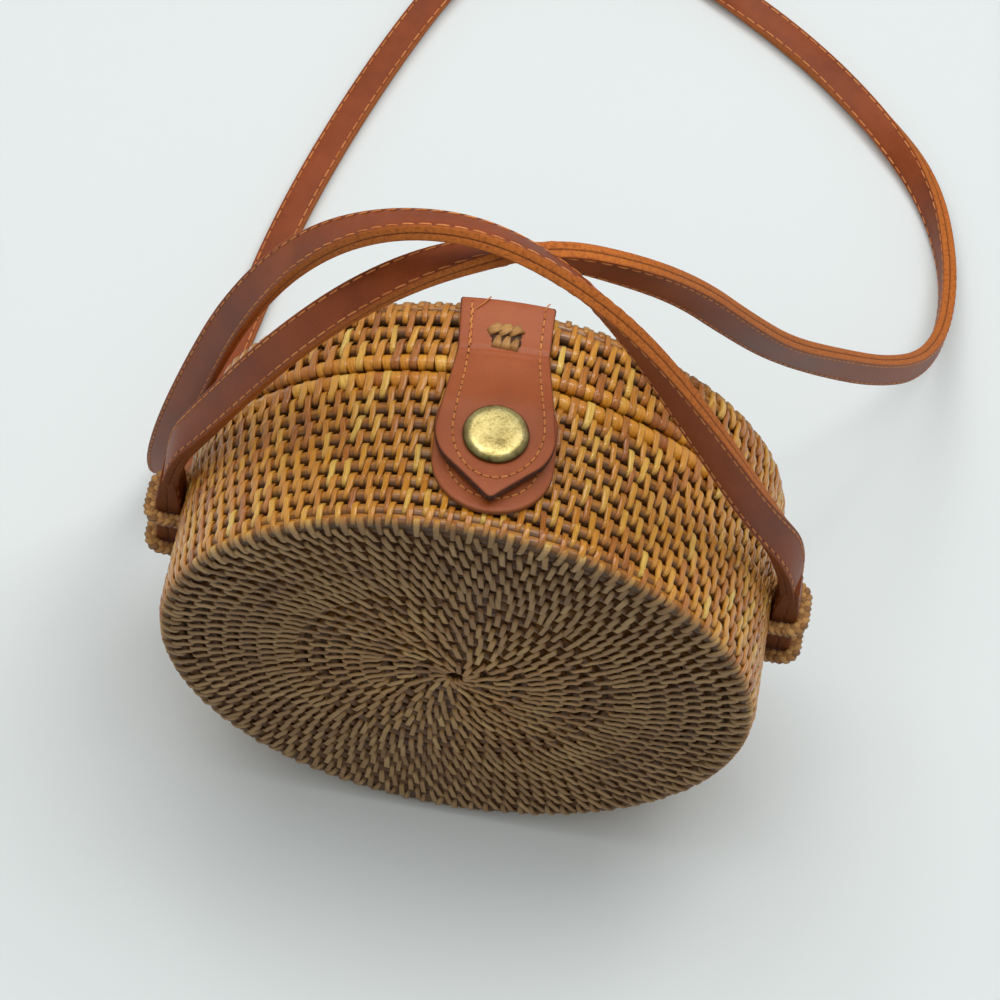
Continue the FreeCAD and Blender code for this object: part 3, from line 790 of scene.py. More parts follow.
def shellOutline(reach):
    # from the face's middle, over the corner and along the wall: radius, depth and the outward direction
    corner = weave["cornerRound"]
    flat = drumRadius - corner
    turn = np.clip((reach - flat) / corner, 0, quarterTurn)
    wall = np.maximum(reach - flat - corner * quarterTurn, 0)
    radius = np.minimum(reach, flat) + corner * np.sin(turn)
    dish = weave["faceDish"] * np.clip(1 - (reach / flat) ** 2, 0, 1)
    depth = corner * (1 - np.cos(turn)) + wall + dish
    return radius, depth, np.sin(turn), -np.cos(turn)


def rowPlace(row):
    return (float(part) for part in shellOutline(np.array(row)))


def reachAt(depth):
    # how far along the outline a place on the wall is
    return drumRadius - weave["cornerRound"] + weave["cornerRound"] * (quarterTurn - 1) + depth


def onDrum(half, radius, depth, angle, aside):
    # a place on the drum; angle 0 is at the top
    x = radius * np.sin(angle) + aside * np.cos(angle)
    z = drumAxis + radius * np.cos(angle) - aside * np.sin(angle)
    return np.stack([x, np.broadcast_to(half["face"] + half["inward"] * depth, x.shape), z], axis=-1)


def rowPlan(half):
    # every row's place along the outline, and the wall rows' pitch
    faceRows = [weave["firstRow"] + weave["facePitch"] * row for row in range(weave["faceRows"] + 1)]
    rim = reachAt(abs(half["mouth"] - half["face"]) - weave["rimDepth"])
    steps = round((rim - faceRows[-1]) / weave["wallPitch"])
    pitch = (rim - faceRows[-1]) / steps
    wallRows = [faceRows[-1] + pitch * step for step in range(1, steps + 1)]
    return faceRows[:-1], faceRows[-1:] + wallRows, pitch


def gapsRound(angles):
    return np.diff(np.concatenate([angles, [angles[0] + fullTurn]]))


def stitchAngles(half, rows, chance):
    # each row's stitches stand beside the last row's, and more are added as the rows grow
    angles = np.linspace(0, fullTurn, weave["firstStitches"], endpoint=False)
    found = []
    for count, row in enumerate(rows):
        radius, _, _, _ = rowPlace(row)
        step = weave["faceStep" if count < weave["faceRows"] else "wallStep"]
        gaps = gapsRound(angles)
        angles = angles + half["turn"] * step * gaps.mean()
        wide = gaps * radius > weave["widestGap"]
        angles = np.sort(np.concatenate([angles, (angles + gaps / 2)[wide]]))
        found.append(angles + chance.normal(0, uneven["place"], len(angles)) * gaps.mean())
    return found


def hingeSink(turn):
    # how much deeper the rim lies, at a place round the drum
    away = np.abs(turn % fullTurn - math.pi)
    return weave["hingeSink"] * np.interp(away, weave["hingeHalf"], [1, 0])


def layStitches(name, half, rows, angles, stitch, pitch, chance, rim=False):
    stations = [tuple(size * mm for size in station) for station in stitch["stations"]]
    master = strandMaster(8, stations, square=True)
    grow = pitch / (stitch["rowPitch"] * mm)
    reach = np.concatenate([np.full(len(turns), row) for row, turns in zip(rows, angles)])[:, None]
    rowTone = np.concatenate([np.full(len(turns), chance.normal(0, uneven["rowTone"])) for turns in angles])
    turn = np.concatenate(angles)[:, None]
    count = len(turn)
    aside, along, height = (master["points"][None, :, axis] for axis in range(3))
    along = along * grow * chance.normal(1, uneven["length"], (count, 1))
    room = (reach - weave["holeRadius"]) / (-stations[-1][0] * grow)
    along = np.where(along < 0, along * np.clip(room, 0, 1), along)
    wider = weave["rimStitchWider"] if rim else 1
    aside = aside * half["turn"] * wider * chance.normal(1, uneven["width"], (count, 1))
    aside = aside + along * chance.normal(0, uneven["lean"], (count, 1))
    height = height + chance.normal(0, uneven["height"], (count, 1))
    if rim:
        height = height + weave["rimProud"] + weave["rimStitchProud"] - hingeSink(turn)
    radius, depth, outX, outY = shellOutline(reach + along)
    placed = onDrum(half, radius + outX * height, depth + outY * height, turn, aside)
    tones = np.clip(chance.normal(uneven["stitchTone"], uneven["tone"], count) + rowTone, 0, 1)
    return copiesPiece(name, master, placed, tones, wovenCane)


def layCores(name, half, rows, size, sink):
    # one bundle for each row, joined into one piece
    made = []
    for row in rows:
        radius, depth, outX, outY = rowPlace(row)
        deep = sink + size
        middle = half["face"] + half["inward"] * (depth - outY * deep)
        deselect()
        bpy.ops.mesh.primitive_torus_add(
            major_segments=weave["coreSegments"], minor_segments=weave["coreSides"],
            major_radius=radius - outX * deep, minor_radius=size,
            location=(0, middle, drumAxis), rotation=(quarterTurn, 0, 0),
        )
        made.append(bpy.context.object)
    deselect()
    for ring in made:
        ring.select_set(True)
    bpy.context.view_layer.objects.active = made[0]
    if len(made) > 1:
        bpy.ops.object.join()
    bpy.ops.object.transform_apply()
    piece = bpy.context.object
    piece.name = name
    return finished(piece, {}, coreCane)


def wrapRim(name, half, row, angles, chance):
    # the rim row is wound between its stitches: one turn is modelled and copied round
    deselect()
    bpy.ops.mesh.primitive_torus_add(
        major_segments=12, minor_segments=8, major_radius=weave["rimCore"], minor_radius=weave["wrapThick"],
    )
    winding = bpy.context.object
    editMode()
    selectAll()
    ribbon = (1, weave["wrapOval"], weave["wrapWidth"] / weave["wrapThick"] / 2)
    bpy.ops.transform.resize(value=ribbon, center_override=(0, 0, 0))
    objectMode()
    local = pointsOf(winding)
    faces = facesOf(winding)
    bpy.data.objects.remove(winding)
    around = np.arctan2(local[:, 0], local[:, 1]) / fullTurn + 0.5
    marks = np.stack([local[:, 2] / weave["wrapWidth"] * 2, around * 0.6 + 0.2], axis=1)
    master = {"points": local, "faces": faces, "marks": marks}
    radius, depth, _, _ = rowPlace(row)
    sink = weave["rimCore"] + weave["wrapThick"] - weave["rimProud"]
    count = len(angles)
    places = np.sort(angles)
    turn = (places + gapsRound(places) / 2)[:, None]
    grow = chance.normal(1, uneven["winding"], (count, 1))
    slant = weave["wrapSlant"] * half["turn"] * local[None, :, 1]
    reach = radius - sink - hingeSink(turn) + local[None, :, 0] * grow
    placed = onDrum(half, reach, depth + local[None, :, 1] * grow, turn, local[None, :, 2] + slant)
    tones = np.clip(chance.normal(uneven["wrapTone"], uneven["tone"], count), 0, 1)
    return copiesPiece(name, master, placed, tones, wovenCane)


def makeHalf(body):
    half = halves[body]
    chance = np.random.default_rng(seed)
    faceRows, wallRows, pitch = rowPlan(half)
    angles = stitchAngles(half, faceRows + wallRows, chance)
    split = len(faceRows)
    facePitch = weave["facePitch"]
    rimBundle = weave["rimCore"] - weave["rimWrapRoom"]
    woven = [
        layStitches(body + "FaceStitches", half, faceRows, angles[:split], faceStitch, facePitch, chance),
        layStitches(body + "WallStitches", half, wallRows[:-1], angles[split:-1], wallStitch, pitch, chance),
        layCores(body + "FaceRows", half, faceRows, weave["faceCore"], weave["faceSink"]),
        layCores(body + "WallRows", half, wallRows[:-1], weave["wallCore"], weave["wallSink"]),
    ]
    rim = [
        layStitches(body + "RimStitches", half, wallRows[-1:], angles[-1:], wallStitch, pitch, chance, True),
        wrapRim(body + "RimWraps", half, wallRows[-1], angles[-1], chance),
        layCores(body + "RimRow", half, wallRows[-1:], rimBundle, weave["faceSink"]),
    ]
    for piece in woven:
        belongs(piece, body, "woven_cane")
    for piece in rim:
        belongs(piece, body, "cane_rim")
    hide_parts(body + "_shell")
    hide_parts(body + "_rim_hoop")
    print(body, "woven:", sum(len(turns) for turns in angles), "stitches,", len(angles[-1]), "in a wall row")


makeHalf("front")
makeHalf("lid")

# Plaited cane: three strands along each strap loop, two twisted ones in each hinge loop.
plait = {
    "swing": 0.00112,  # how far a strand goes to each side
    "cross": 0.00080,  # and over and under
    "period": 0.0057,
    "strandWide": 0.00116,
    "strandThick": 0.00086,
    "sides": 8,
    "step": 0.0005,
    "bend": 0.004,
    "bendSteps": 14,
    "tight": 0.0008,  # the loops lie this much closer to the strap
    "root": 0.0860,  # the loops start inside the wall, this far from the middle
}
twist = {
    "strandRadius": 0.00042,
    "offset": 0.00036,
    "turns": 5,
    "steps": 72,
    "sides": 6,
}


def strandTube(line, reference, wide, thick, sides):
    # rings of a round strand along a line; the reference is never along the line
    along = unit(np.gradient(line, axis=0))
    side = unit(np.cross(along, reference))
    up = np.cross(side, along)
    turns = np.linspace(0, fullTurn, sides, endpoint=False)[None, :, None]
    return line[:, None] + wide * side[:, None] * np.cos(turns) + thick * up[:, None] * np.sin(turns)


def strandsPiece(name, tubes, closed, material, marks=(0, 6)):
    points, faces, layer = [], [], []
    for count, rings in enumerate(tubes):
        steps, sides = rings.shape[:2]
        tube = rings.reshape(-1, 3)
        skin = outward(tube - tube.mean(axis=0), ringFaces(steps, sides, closed))
        start = sum(len(part) for part in points)
        faces.extend([start + corner for corner in face] for face in skin)
        across = np.tile(np.cos(np.linspace(0, fullTurn, sides, endpoint=False)), steps)
        along = np.repeat(np.linspace(*marks, steps), sides)
        layer.append(np.stack([across, along, np.full(len(tube), (count * 0.37 + 0.3) % 1)], axis=1))
        points.append(tube)
    return newPiece(name, np.concatenate(points), faces, {"strand": np.concatenate(layer)}, material)


def loopLine(node):
    # out of the wall, round two bends and back into the wall
    low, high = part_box(node)
    side = math.copysign(1, low.x)
    bar = (high.z - low.z) / 2
    reach = max(abs(low.x), abs(high.x)) - bar - plait["tight"]
    half = (high.y - low.y) / 2 - bar
    bend = plait["bend"]
    arc = np.linspace(0, quarterTurn, plait["bendSteps"])
    corner = np.stack([reach - bend + bend * np.sin(arc), -half + bend - bend * np.cos(arc)], axis=1)
    start = [[plait["root"], -half]]
    end = [[plait["root"], half]]
    flat = np.concatenate([start, corner, corner[::-1] * [1, -1], end])
    even, marks = evenly(flat, plait["step"])
    x, y = even.T
    z = np.full_like(x, (low.z + high.z) / 2)
    return np.stack([side * x, y + (low.y + high.y) / 2, z], axis=1), marks


def plaitedLoop(node):
    line, marks = loopLine(node)
    up = np.array([0.0, 0.0, 1.0])
    aside = unit(np.cross(unit(np.gradient(line, axis=0)), up))
    tubes = []
    for strand in range(3):
        phase = (fullTurn * (marks / plait["period"] + strand / 3))[:, None]
        run = line + aside * plait["swing"] * np.sin(phase) + up * plait["cross"] * np.sin(2 * phase)
        tubes.append(strandTube(run, up, plait["strandWide"], plait["strandThick"], plait["sides"]))
    words = node.split("_")
    name = words[0] + "".join(word.capitalize() for word in words[1:]) + "Plait"
    belongs(strandsPiece(name, tubes, False, cordCane), "front", "cane_cord", node)


def hingeLoop(side):
    # two strands twisted round each other into a ring through both rims
    node = "hinge_loop_" + side
    low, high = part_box(node)
    middle = np.array((low + high) / 2)
    ring = (high.z - low.z) / 2 - (high.x - low.x) / 2
    around = np.linspace(0, fullTurn, twist["steps"], endpoint=False)
    outwardWay = np.stack([np.zeros_like(around), np.cos(around), np.sin(around)], axis=1)
    sideways = np.array([1.0, 0.0, 0.0])
    thin = twist["strandRadius"]
    tubes = []
    for strand in range(2):
        phase = (twist["turns"] * around + strand * math.pi)[:, None]
        run = middle + outwardWay * (ring + twist["offset"] * np.cos(phase))
        run = run + sideways * twist["offset"] * np.sin(phase)
        padded = np.concatenate([run[-2:], run, run[:2]])  # so that the first and last rings meet
        tubes.append(strandTube(padded, sideways, thin, thin, twist["sides"])[2:-2])
    piece = strandsPiece("hingeLoop" + side.capitalize(), tubes, True, cordCane)
    belongs(piece, "front", "cane_cord", node)


for loop in ("right_upper_loop", "right_lower_loop", "left_upper_loop", "left_lower_loop"):
    plaitedLoop(loop)
hingeLoop("left")
hingeLoop("right")
print("loops plaited")


# The closure tab and the patch below it, cut from flat leather and laid over the drum.
# Plan sizes in mm: x across the tab, y towards the lid's back.
tab = {
    "lean": 4.4,  # degrees; the tab is sewn on a little askew
    "shift": 1.0,
    "finish": tabLeather,
    "leather": 3.0,  # two layers, pressed a little into the weave
    "outline": [
        (13.5, 37), (-13.8, 38.2), (-13.2, 20.5), (-17.9, -14.4), (0, -30.9), (17.5, -15.2), (13, 20.5),
    ],
    "rounds": [  # corners, and how far back they are rounded
        ([(17.5, -15.2), (-17.9, -14.4)], 6.8), ([(0, -30.9)], 1.3), ([(13.5, 37), (-13.8, 38.2)], 0.8),
    ],
    "lift": [(-31, 5.0), (0.6, 4.8), (9, 1.8), (20.2, -0.4), (37, -0.5)],  # underside above the weave
    "liftSpread": 2.5,
    # bending lines: first, last and step
    "linesAcross": [(-28, 16, 2.2), (16.4, 24.5, 0.7), (26, 36, 2.2)],
    "linesAlong": (-15, 15.1, 2.5),
    "softEdge": 0.5,
    "creases": [(20.6, -0.30, 0.6), (22.2, 0.16, 0.7), (18.6, -0.18, 0.55)],  # place, height, width
    "seam": [
        (-10.6, 36.4), (-10.4, 28), (-10.0, 20), (-10.8, 8), (-12.0, -3), (-12.4, -11), (-10.2, -18),
        (-5.2, -23.4), (0.5, -24.8), (6, -22.8), (11, -17.4), (13.6, -10), (13.0, -3), (11.3, 8),
        (10.0, 20), (10.3, 28), (10.5, 36.4),
    ],
    "backTack": [(-10.2, 34.6), (-10.0, 27), (-9.8, 21.5)],  # the seam's start is sewn twice
    "looseEnds": [
        [(-10.3, 33.2, 2.3), (-8.6, 34.4, 3.0), (-6.8, 36.2, 2.8), (-5.6, 37.6, 3.3), (-5.4, 38.0, 2.9)],
        [(10.4, 35.6, 2.3), (10.8, 36.8, 3.0), (11.4, 37.6, 2.9), (11.6, 38.1, 2.4)],
    ],
    "stitchPitch": 2.6,
    "stitchLength": 1.9,
    "threadRadius": 0.28,
    "seamSteps": 12,
    "looseSteps": 6,
    "looseThin": 0.8,  # loose ends are thinner than the stitches
    "bend": (22.6, 17.8),  # the leather bends between these places
    "bendHeight": 2.6,
}
patch = {
    "finish": patchLeather,
    "leather": 2.2,
    "outline": [(17.25, 7.5), (-17.25, 7.5), (-17.25, -32), (17.25, -32)],
    "rounds": [([(-17.25, -32), (17.25, -32)], 17.2), ([(17.25, 7.5), (-17.25, 7.5)], 10)],
    "lift": [(-33, 0.15), (8, 0.15)],
    "linesAcross": [(-30, 6.5, 2.5)],
    "linesAlong": (-15, 15.1, 2.5),
    "softEdge": 0.6,
    "seamInset": 4.3,
    "seamStart": 7,
    "seamStep": 0.8,
}
cutting = {
    "roundSteps": 9,
    "edgeSteps": 3,
    "near": 0.05,  # points closer than this to a corner are the corner
    "weld": 0.02,
    "level": 0.01,
}


def onTab(x, y, height):
    # a place of the tab's plan, in mm, laid over the drum
    lean = math.radians(tab["lean"])
    across = (tab["shift"] + x * math.cos(lean) - y * math.sin(lean)) * mm
    back = (x * math.sin(lean) + y * math.cos(lean)) * mm
    reach = drumRadius + height * mm
    return np.stack([across, back, drumAxis + np.sqrt(reach ** 2 - across ** 2)], axis=-1)


def liftAt(leather, y):
    # underside height, with its turns rounded off
    places, heights = zip(*sorted(leather["lift"]))
    spread = np.linspace(-1, 1, 9) * tab["liftSpread"]
    lift = np.mean([np.interp(y + shift, places, heights) for shift in spread], axis=0)
    for place, height, width in leather.get("creases", []):
        lift = lift + height * np.exp(-((y - place) / width) ** 2)
    return lift


def cutFlat(name, leather):
    # a flat pattern with rounded corners, its thickness, softened edges and the lines that it bends on
    deselect()
    bpy.ops.mesh.primitive_circle_add(vertices=len(leather["outline"]), radius=10, fill_type="NGON")
    piece = bpy.context.object
    piece.name = name
    for corner, place in enumerate(leather["outline"]):
        pickPoints(piece, np.arange(len(piece.data.vertices)) == corner)
        step = Vector((*place, 0)) - piece.data.vertices[corner].co
        editMode()
        bpy.ops.transform.translate(value=step)
        objectMode()
    for places, cutBack in leather["rounds"]:
        flat = pointsOf(piece)[:, None, :2]
        away = np.linalg.norm(flat - np.array(places)[None], axis=2).min(axis=1)
        pickPoints(piece, away < cutting["near"])
        editMode()
        bpy.ops.mesh.bevel(offset=cutBack, segments=cutting["roundSteps"], affect="VERTICES")
        objectMode()
    editMode()
    selectAll()
    bpy.ops.mesh.remove_doubles(threshold=cutting["weld"])
    bpy.ops.mesh.extrude_region_move(TRANSFORM_OT_translate={"value": (0, 0, leather["leather"])})
    selectAll()
    bpy.ops.mesh.normals_make_consistent(inside=False)
    objectMode()
    level = pointsOf(piece)[:, 2]
    ends = [tuple(edge.vertices) for edge in piece.data.edges]
    pickPoints(piece, np.zeros(len(level)))
    flatEdges = [bool(abs(level[first] - level[last]) < cutting["level"]) for first, last in ends]
    piece.data.edges.foreach_set("select", flatEdges)
    editMode()
    bpy.ops.mesh.select_mode(type="EDGE")
    bpy.ops.mesh.bevel(offset=leather["softEdge"], segments=cutting["edgeSteps"], affect="EDGES")
    bpy.ops.mesh.select_mode(type="VERT")
    cuts = [((0, place, 0), (0, 1, 0)) for lines in leather["linesAcross"] for place in np.arange(*lines)]
    cuts += [((place, 0, 0), (1, 0, 0)) for place in np.arange(*leather["linesAlong"])]
    for place, normal in cuts:
        selectAll()
        bpy.ops.mesh.bisect(plane_co=place, plane_no=normal)
    objectMode()
    return piece


def layLeather(piece, leather):
    # raw where the cut edge is, rough below, and the whole laid on its place
    x, y, z = pointsOf(piece).T
    top = leather["leather"]
    raw = np.interp(z, [0, 0.1, top - 0.45, top - 0.1, top], [0.75, 1, 1, 0.35, 0])
    layer = np.stack([raw, np.zeros_like(raw), np.zeros_like(raw)], axis=1)
    setPoints(piece, onTab(x, y, liftAt(leather, y) + z))
    return finished(piece, {"leather": layer}, leather["finish"])


def seamRun(plan, leather):
    # a seam's places on the leather's top, with their directions
    x, y = plan[:, 0], plan[:, 1]
    line = onTab(x, y, liftAt(leather, y) + leather["leather"])
    above = onTab(x, y, liftAt(leather, y) + leather["leather"] + 1)
    return line, unit(above - line)


def sewSeams(name, plans, leather):
    seams = []
    for plan in plans:
        line, up = seamRun(plan, leather)
        before, share = spaced(line, tab["stitchPitch"] * mm)
        middles = line[before] + (line[before + 1] - line[before]) * share
        along = unit(line[before + 1] - line[before])
        across = unit(np.cross(along, up[before]))
        seams.append((middles, along, across, np.cross(across, along)))
    stacked = [np.concatenate(part) for part in zip(*seams)]
    master = threadMaster(tab["stitchLength"] * mm, tab["threadRadius"] * mm)
    return sewn(name, master, *stacked, cognacThread)


def planLine(points):
    # a seam's smooth line on the plan
    return smoothLine([(*point, 0) for point in points], tab["seamSteps"])[:, :2]


def makeTab():
    leather = layLeather(cutFlat("closureTab", tab), tab)
    thread = sewSeams("closureTabThread", [planLine(tab["seam"]), planLine(tab["backTack"])], tab)
    bend = [onTab(np.array(0.0), np.array(place), np.array(tab["bendHeight"])) for place in tab["bend"]]
    for piece in (leather, thread):
        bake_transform(piece)
    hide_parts("closure_tab_base", "closure_tab_flap")
    thin = tab["threadRadius"] * tab["looseThin"] * mm
    tubes = []
    for end in tab["looseEnds"]:
        x, y, height = smoothLine(end, tab["looseSteps"]).T
        tubes.append(strandTube(onTab(x, y, height), np.array([0.0, 0.0, 1.0]), thin, thin, 6))
    loose = strandsPiece("closureTabLooseThread", tubes, False, cognacThread, (0.3, 0.7))
    belongs(loose, "lid", "tab_leather")


def makePatch():
    belongs(layLeather(cutFlat("snapPatch", patch), patch), "front", "tab_leather", "snap_patch")
    half = patch["outline"][0][0]
    back, tip = patch["outline"][0][1], patch["outline"][2][1]
    reach = half - patch["seamInset"]
    turn = np.linspace(math.pi, fullTurn, 40)
    arc = np.stack([reach * np.cos(turn), tip + half + reach * np.sin(turn)], axis=1)
    start = back - patch["seamStart"]
    plan = np.concatenate([[[-reach, start]], arc, [[reach, start]]])
    even, _ = evenly(plan, patch["seamStep"])
    belongs(sewSeams("snapPatchThread", [even], patch), "front", "tab_leather")


makeTab()
makePatch()
print("tab and patch sewn")


# The cane lashing that ties the tab to the lid: flat strands that lean over, above leaf-shaped ones.
# Stations are along, height, half width, half thickness and aside; mm.
knot = {
    "along": 25.2,  # place on the tab's plan
    "over": [
        (2.6, -0.7, 1.2, 0.30, 0.25), (2.0, 0.60, 1.45, 0.42, 0.15), (0.7, 1.15, 1.55, 0.50, 0.05),
        (-0.8, 1.05, 1.50, 0.50, -0.05), (-2.0, 0.55, 1.30, 0.42, -0.15), (-2.6, -0.6, 1.0, 0.30, -0.2),
    ],
    "under": [
        (2.4, -0.1, 0.30, 0.25, 0.1), (1.3, 0.55, 0.75, 0.36, 0.05), (-0.2, 0.85, 1.15, 0.42, 0.0),
        (-1.5, 0.70, 1.45, 0.40, 0.0), (-2.1, 0.25, 1.42, 0.34, 0.0), (-2.5, -0.7, 1.2, 0.25, 0.0),
    ],
    "slot": [
        (4.6, -0.2, 0.9, 0.30, 0.0), (4.0, 0.05, 1.7, 0.30, 0.0), (0.0, 0.10, 2.0, 0.32, 0.0),
        (-4.0, 0.05, 1.7, 0.30, 0.0), (-4.6, -0.2, 0.9, 0.30, 0.0),
    ],
    # across, along, turn in degrees, size, tone
    "overStrands": [(-2.9, 1.9, -56, 1.0, 0.45), (-0.1, 1.8, -50, 1.04, 0.55), (2.7, 1.7, -54, 0.96, 0.3)],
    "underStrands": [(-2.2, -1.8, -6, 1.0, 0.4), (0.4, -2.0, -10, 1.02, 0.55), (2.9, -2.3, -16, 0.96, 0.25)],
    "slotStrands": [(-0.1, 0.9, 90, 1.0, 0.0), (0.3, -1.7, 86, 0.92, 0.0)],  # strands in the tab's slot, dark all over with painted shade
}


def lashStrands(name, stations, strands, dark=False):
    master = strandMaster(8, stations, square=True)
    # painted shade over the whole strand: it takes the dark end colour all along
    if dark:
        master["marks"][:, 1] = 0
    placed = []
    for across, along, turn, size, _ in strands:
        angle = math.radians(turn)
        local = master["points"] * size
        x = across + local[:, 0] * math.cos(angle) - local[:, 1] * math.sin(angle)
        y = knot["along"] + along + local[:, 0] * math.sin(angle) + local[:, 1] * math.cos(angle)
        placed.append(onTab(x, y, liftAt(tab, y) + tab["leather"] + local[:, 2]))
    return copiesPiece(name, master, np.array(placed), [strand[-1] for strand in strands], lashCane)


def makeKnot():
    over = lashStrands("tabLashingOver", knot["over"], knot["overStrands"])
    under = lashStrands("tabLashingUnder", knot["under"], knot["underStrands"])
    slot = lashStrands("tabLashingSlot", knot["slot"], knot["slotStrands"], True)
    belongs(over, "lid", "cane_cord", "tab_lashing")
    belongs(under, "lid", "cane_cord")
    belongs(slot, "lid", "cane_cord")


makeKnot()


# Antique brass, unevenly rubbed bright, and dark in its pits.
def brassFinish(name, dark, main, bright, shadeRim):
    finish = Finish(name, Metallic=1.0)
    place = finish.place()
    cloud = finish.noise(place, 170, 4, 0.6)
    specks = finish.noise(place, 1500, 3, 0.7)
    shade = cloud * 0.6 + specks * 0.4
    colour = finish.ramp(shade, [(0.34, dark), (0.5, main), (0.68, bright)])
    pits = specks.between(0.36, 0.28)
    colour = finish.mix(pits * 0.7, colour, dark)
    if shadeRim:
        # painted shade on the cap's rolled rim
        _, rise, _ = finish.parts(finish.layer("strand"))
        colour = finish.mix(rise.between(0.56, 0.30) * 0.85, colour, tint(62, 54, 26))
    finish.bump(cloud * 1.2 + specks * 0.35, 0.35, 0.0005)
    return finish.show(Base_Color=colour, Roughness=0.24 + 0.2 * specks + 0.2 * pits)


def steelFinish(name):
    finish = Finish(name, Metallic=1.0)
    drawn = finish.noise(finish.place(), 2400, 2)
    colour = finish.mix(drawn, tint(150, 150, 150), tint(198, 198, 200))
    return finish.show(Base_Color=colour, Roughness=0.25 + 0.15 * drawn)


capBrass = brassFinish("capBrass", tint(136, 118, 66), tint(212, 194, 126), tint(240, 228, 170), True)
studBrass = brassFinish("studBrass", tint(112, 92, 50), tint(168, 146, 84), tint(198, 178, 112), False)
springSteel = steelFinish("springSteel")

cap = {
    "sides": 56,
    "spread": 1.04,
    "rise": 0.0031,
    # part of the rise, part of the radius: rolled rim, then the dome
    "profile": [
        (0.0, 0.95), (0.05, 0.985), (0.14, 1.0), (0.28, 0.99), (0.38, 0.965), (0.50, 0.93), (0.66, 0.89),
        (0.78, 0.83), (0.87, 0.71), (0.94, 0.52), (0.985, 0.27), (1.0, 0.04),
    ],
}


def makeCap():
    low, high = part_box("snap_cap")
    radius = (high.x - low.x) / 2 * cap["spread"]
    middle = (low + high) / 2
    stations = [(rise * cap["rise"], 0, part * radius, part * radius, 0) for rise, part in cap["profile"]]
    master = strandMaster(cap["sides"], stations)
    x, rise, y = master["points"].T
    tilt = math.asin(middle.x / (drumRadius + cap["rise"]))
    placed = np.stack([
        middle.x + x * math.cos(tilt) + (rise - cap["rise"]) * math.sin(tilt),
        middle.y + y,
        high.z + (rise - cap["rise"]) * math.cos(tilt) - x * math.sin(tilt),
    ], axis=-1)
    piece = copiesPiece("snapCap", master, placed[None], [0.5], capBrass)
    belongs(piece, "closure_tab", "antique_brass", "snap_cap")


makeCap()
studMetals = {
    "snap_stud": studBrass,
    "snap_stud_back": studBrass,
    "snap_socket": studBrass,
    "socket_spring": springSteel,
}
for node, metal in studMetals.items():
    for slot in bpy.data.objects[node].material_slots:
        slot.material = metal
print("lashing and press stud made")


# Cotton lining of both halves: a round floor and a band along the wall.
def cottonFinish(name, main, light):
    finish = Finish(name, Sheen_Weight=0.15)
    across, along, _ = finish.parts(finish.layer("cloth"))
    threads = fullTurn / 0.0009  # one every 0.9 mm
    warp = (across * threads).wave()
    weft = (along * threads).wave()
    slub = finish.noise(finish.joined(across * 0.25, along, 0), 900, 3, 0.6)
    cross = warp * weft
    colour = finish.mix(cross * 0.3 + slub * 0.6, main, light)
    finish.bump(cross * 0.5 + slub, 0.5, 0.0003)
    return finish.show(Base_Color=colour, Roughness=0.8 + 0.12 * slub)


liningCotton = cottonFinish("liningCotton", tint(150, 118, 84), tint(190, 160, 122))
lining = {
    "radius": 0.0843,
    "floorDepth": 0.0066,  # from the face's outside
    "rimGap": 0.0022,  # the band ends this far inside the mouth
    "sides": 96,
    "rings": 9,
    "bandStep": 0.006,
    "thickness": 0.0004,
    "pucker": 0.00022,
    "edgeFolds": 31,  # puckers round the floor's edge
    "wideFolds": 7,
    "foldTwist": 5,
    "bandFolds": 23,
    "bandLean": 300,
}


def aroundDrum(points):
    return np.arctan2(points[:, 0], points[:, 2] - drumAxis)


def thicken(piece):
    cloth = piece.modifiers.new("thickness", "SOLIDIFY")
    cloth.thickness = lining["thickness"]
    cloth.offset = 0
    bpy.context.view_layer.objects.active = piece
    bpy.ops.object.modifier_apply(modifier=cloth.name)


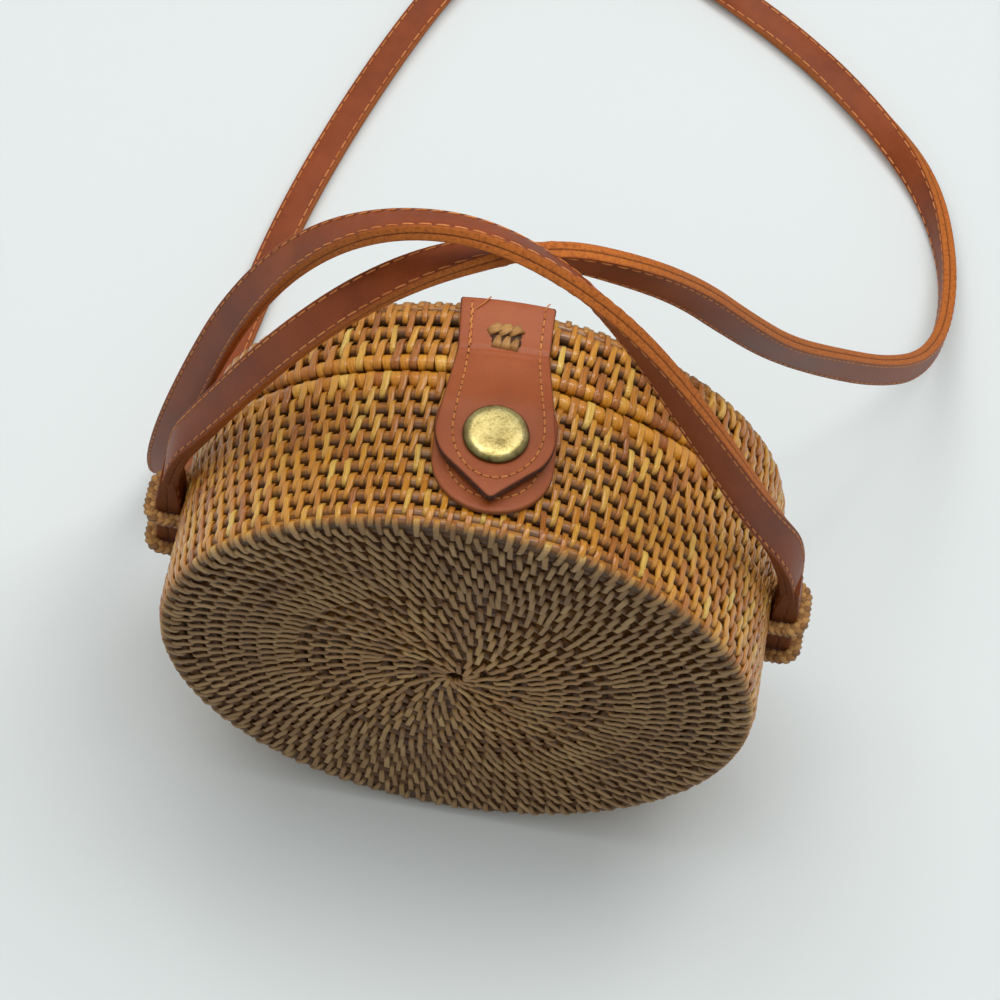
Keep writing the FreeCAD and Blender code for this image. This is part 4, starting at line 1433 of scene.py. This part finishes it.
def liningFloor(body, half):
    floor = half["face"] + half["inward"] * lining["floorDepth"]
    deselect()
    bpy.ops.mesh.primitive_circle_add(
        vertices=lining["sides"], radius=lining["radius"], fill_type="NGON",
        location=(0, floor, drumAxis), rotation=(-half["inward"] * quarterTurn, 0, 0),
    )
    piece = bpy.context.object
    piece.name = body + "LiningFloor"
    bpy.ops.object.transform_apply()
    editMode()
    selectAll()
    for _ in range(lining["rings"]):
        bpy.ops.mesh.inset(thickness=lining["radius"] / (lining["rings"] + 1))
    objectMode()
    points = pointsOf(piece)
    reach = np.hypot(points[:, 0], points[:, 2] - drumAxis) / lining["radius"]
    around = aroundDrum(points)
    wide = np.sin(around * lining["wideFolds"] + reach * lining["foldTwist"])
    swell = 1 + np.sin(around * lining["edgeFolds"]) * reach + wide
    points[:, 1] += half["inward"] * lining["pucker"] * swell
    setPoints(piece, points)
    thicken(piece)
    cloth = pointsOf(piece)[:, [0, 2, 1]]
    finished(piece, {"cloth": cloth}, liningCotton)
    belongs(piece, body, "lining_cloth", body + "_lining")


def liningBand(body, half):
    start = half["face"] + half["inward"] * lining["floorDepth"]
    depth = abs(half["mouth"] - start) - lining["rimGap"]
    steps = round(depth / lining["bandStep"])
    deselect()
    bpy.ops.mesh.primitive_circle_add(
        vertices=lining["sides"], radius=lining["radius"],
        location=(0, start, drumAxis), rotation=(quarterTurn, 0, 0),
    )
    piece = bpy.context.object
    piece.name = body + "LiningBand"
    bpy.ops.object.transform_apply()
    editMode()
    selectAll()
    step = (0, half["inward"] * depth / steps, 0)
    for _ in range(steps):
        bpy.ops.mesh.extrude_region_move(TRANSFORM_OT_translate={"value": step})
    selectAll()
    bpy.ops.mesh.normals_make_consistent(inside=True)
    objectMode()
    points = pointsOf(piece)
    folds = np.sin(aroundDrum(points) * lining["bandFolds"] + points[:, 1] * lining["bandLean"])
    shrink = 1 - lining["pucker"] / lining["radius"] * (1 + folds)
    points[:, 0] *= shrink
    points[:, 2] = drumAxis + (points[:, 2] - drumAxis) * shrink
    setPoints(piece, points)
    thicken(piece)
    points = pointsOf(piece)
    around = aroundDrum(points)
    cloth = np.stack([around * lining["radius"], points[:, 1], np.zeros_like(around)], axis=1)
    finished(piece, {"cloth": cloth}, liningCotton)
    belongs(piece, body, "lining_cloth")


for body, half in halves.items():
    liningFloor(body, half)
    liningBand(body, half)
print("linings set in")
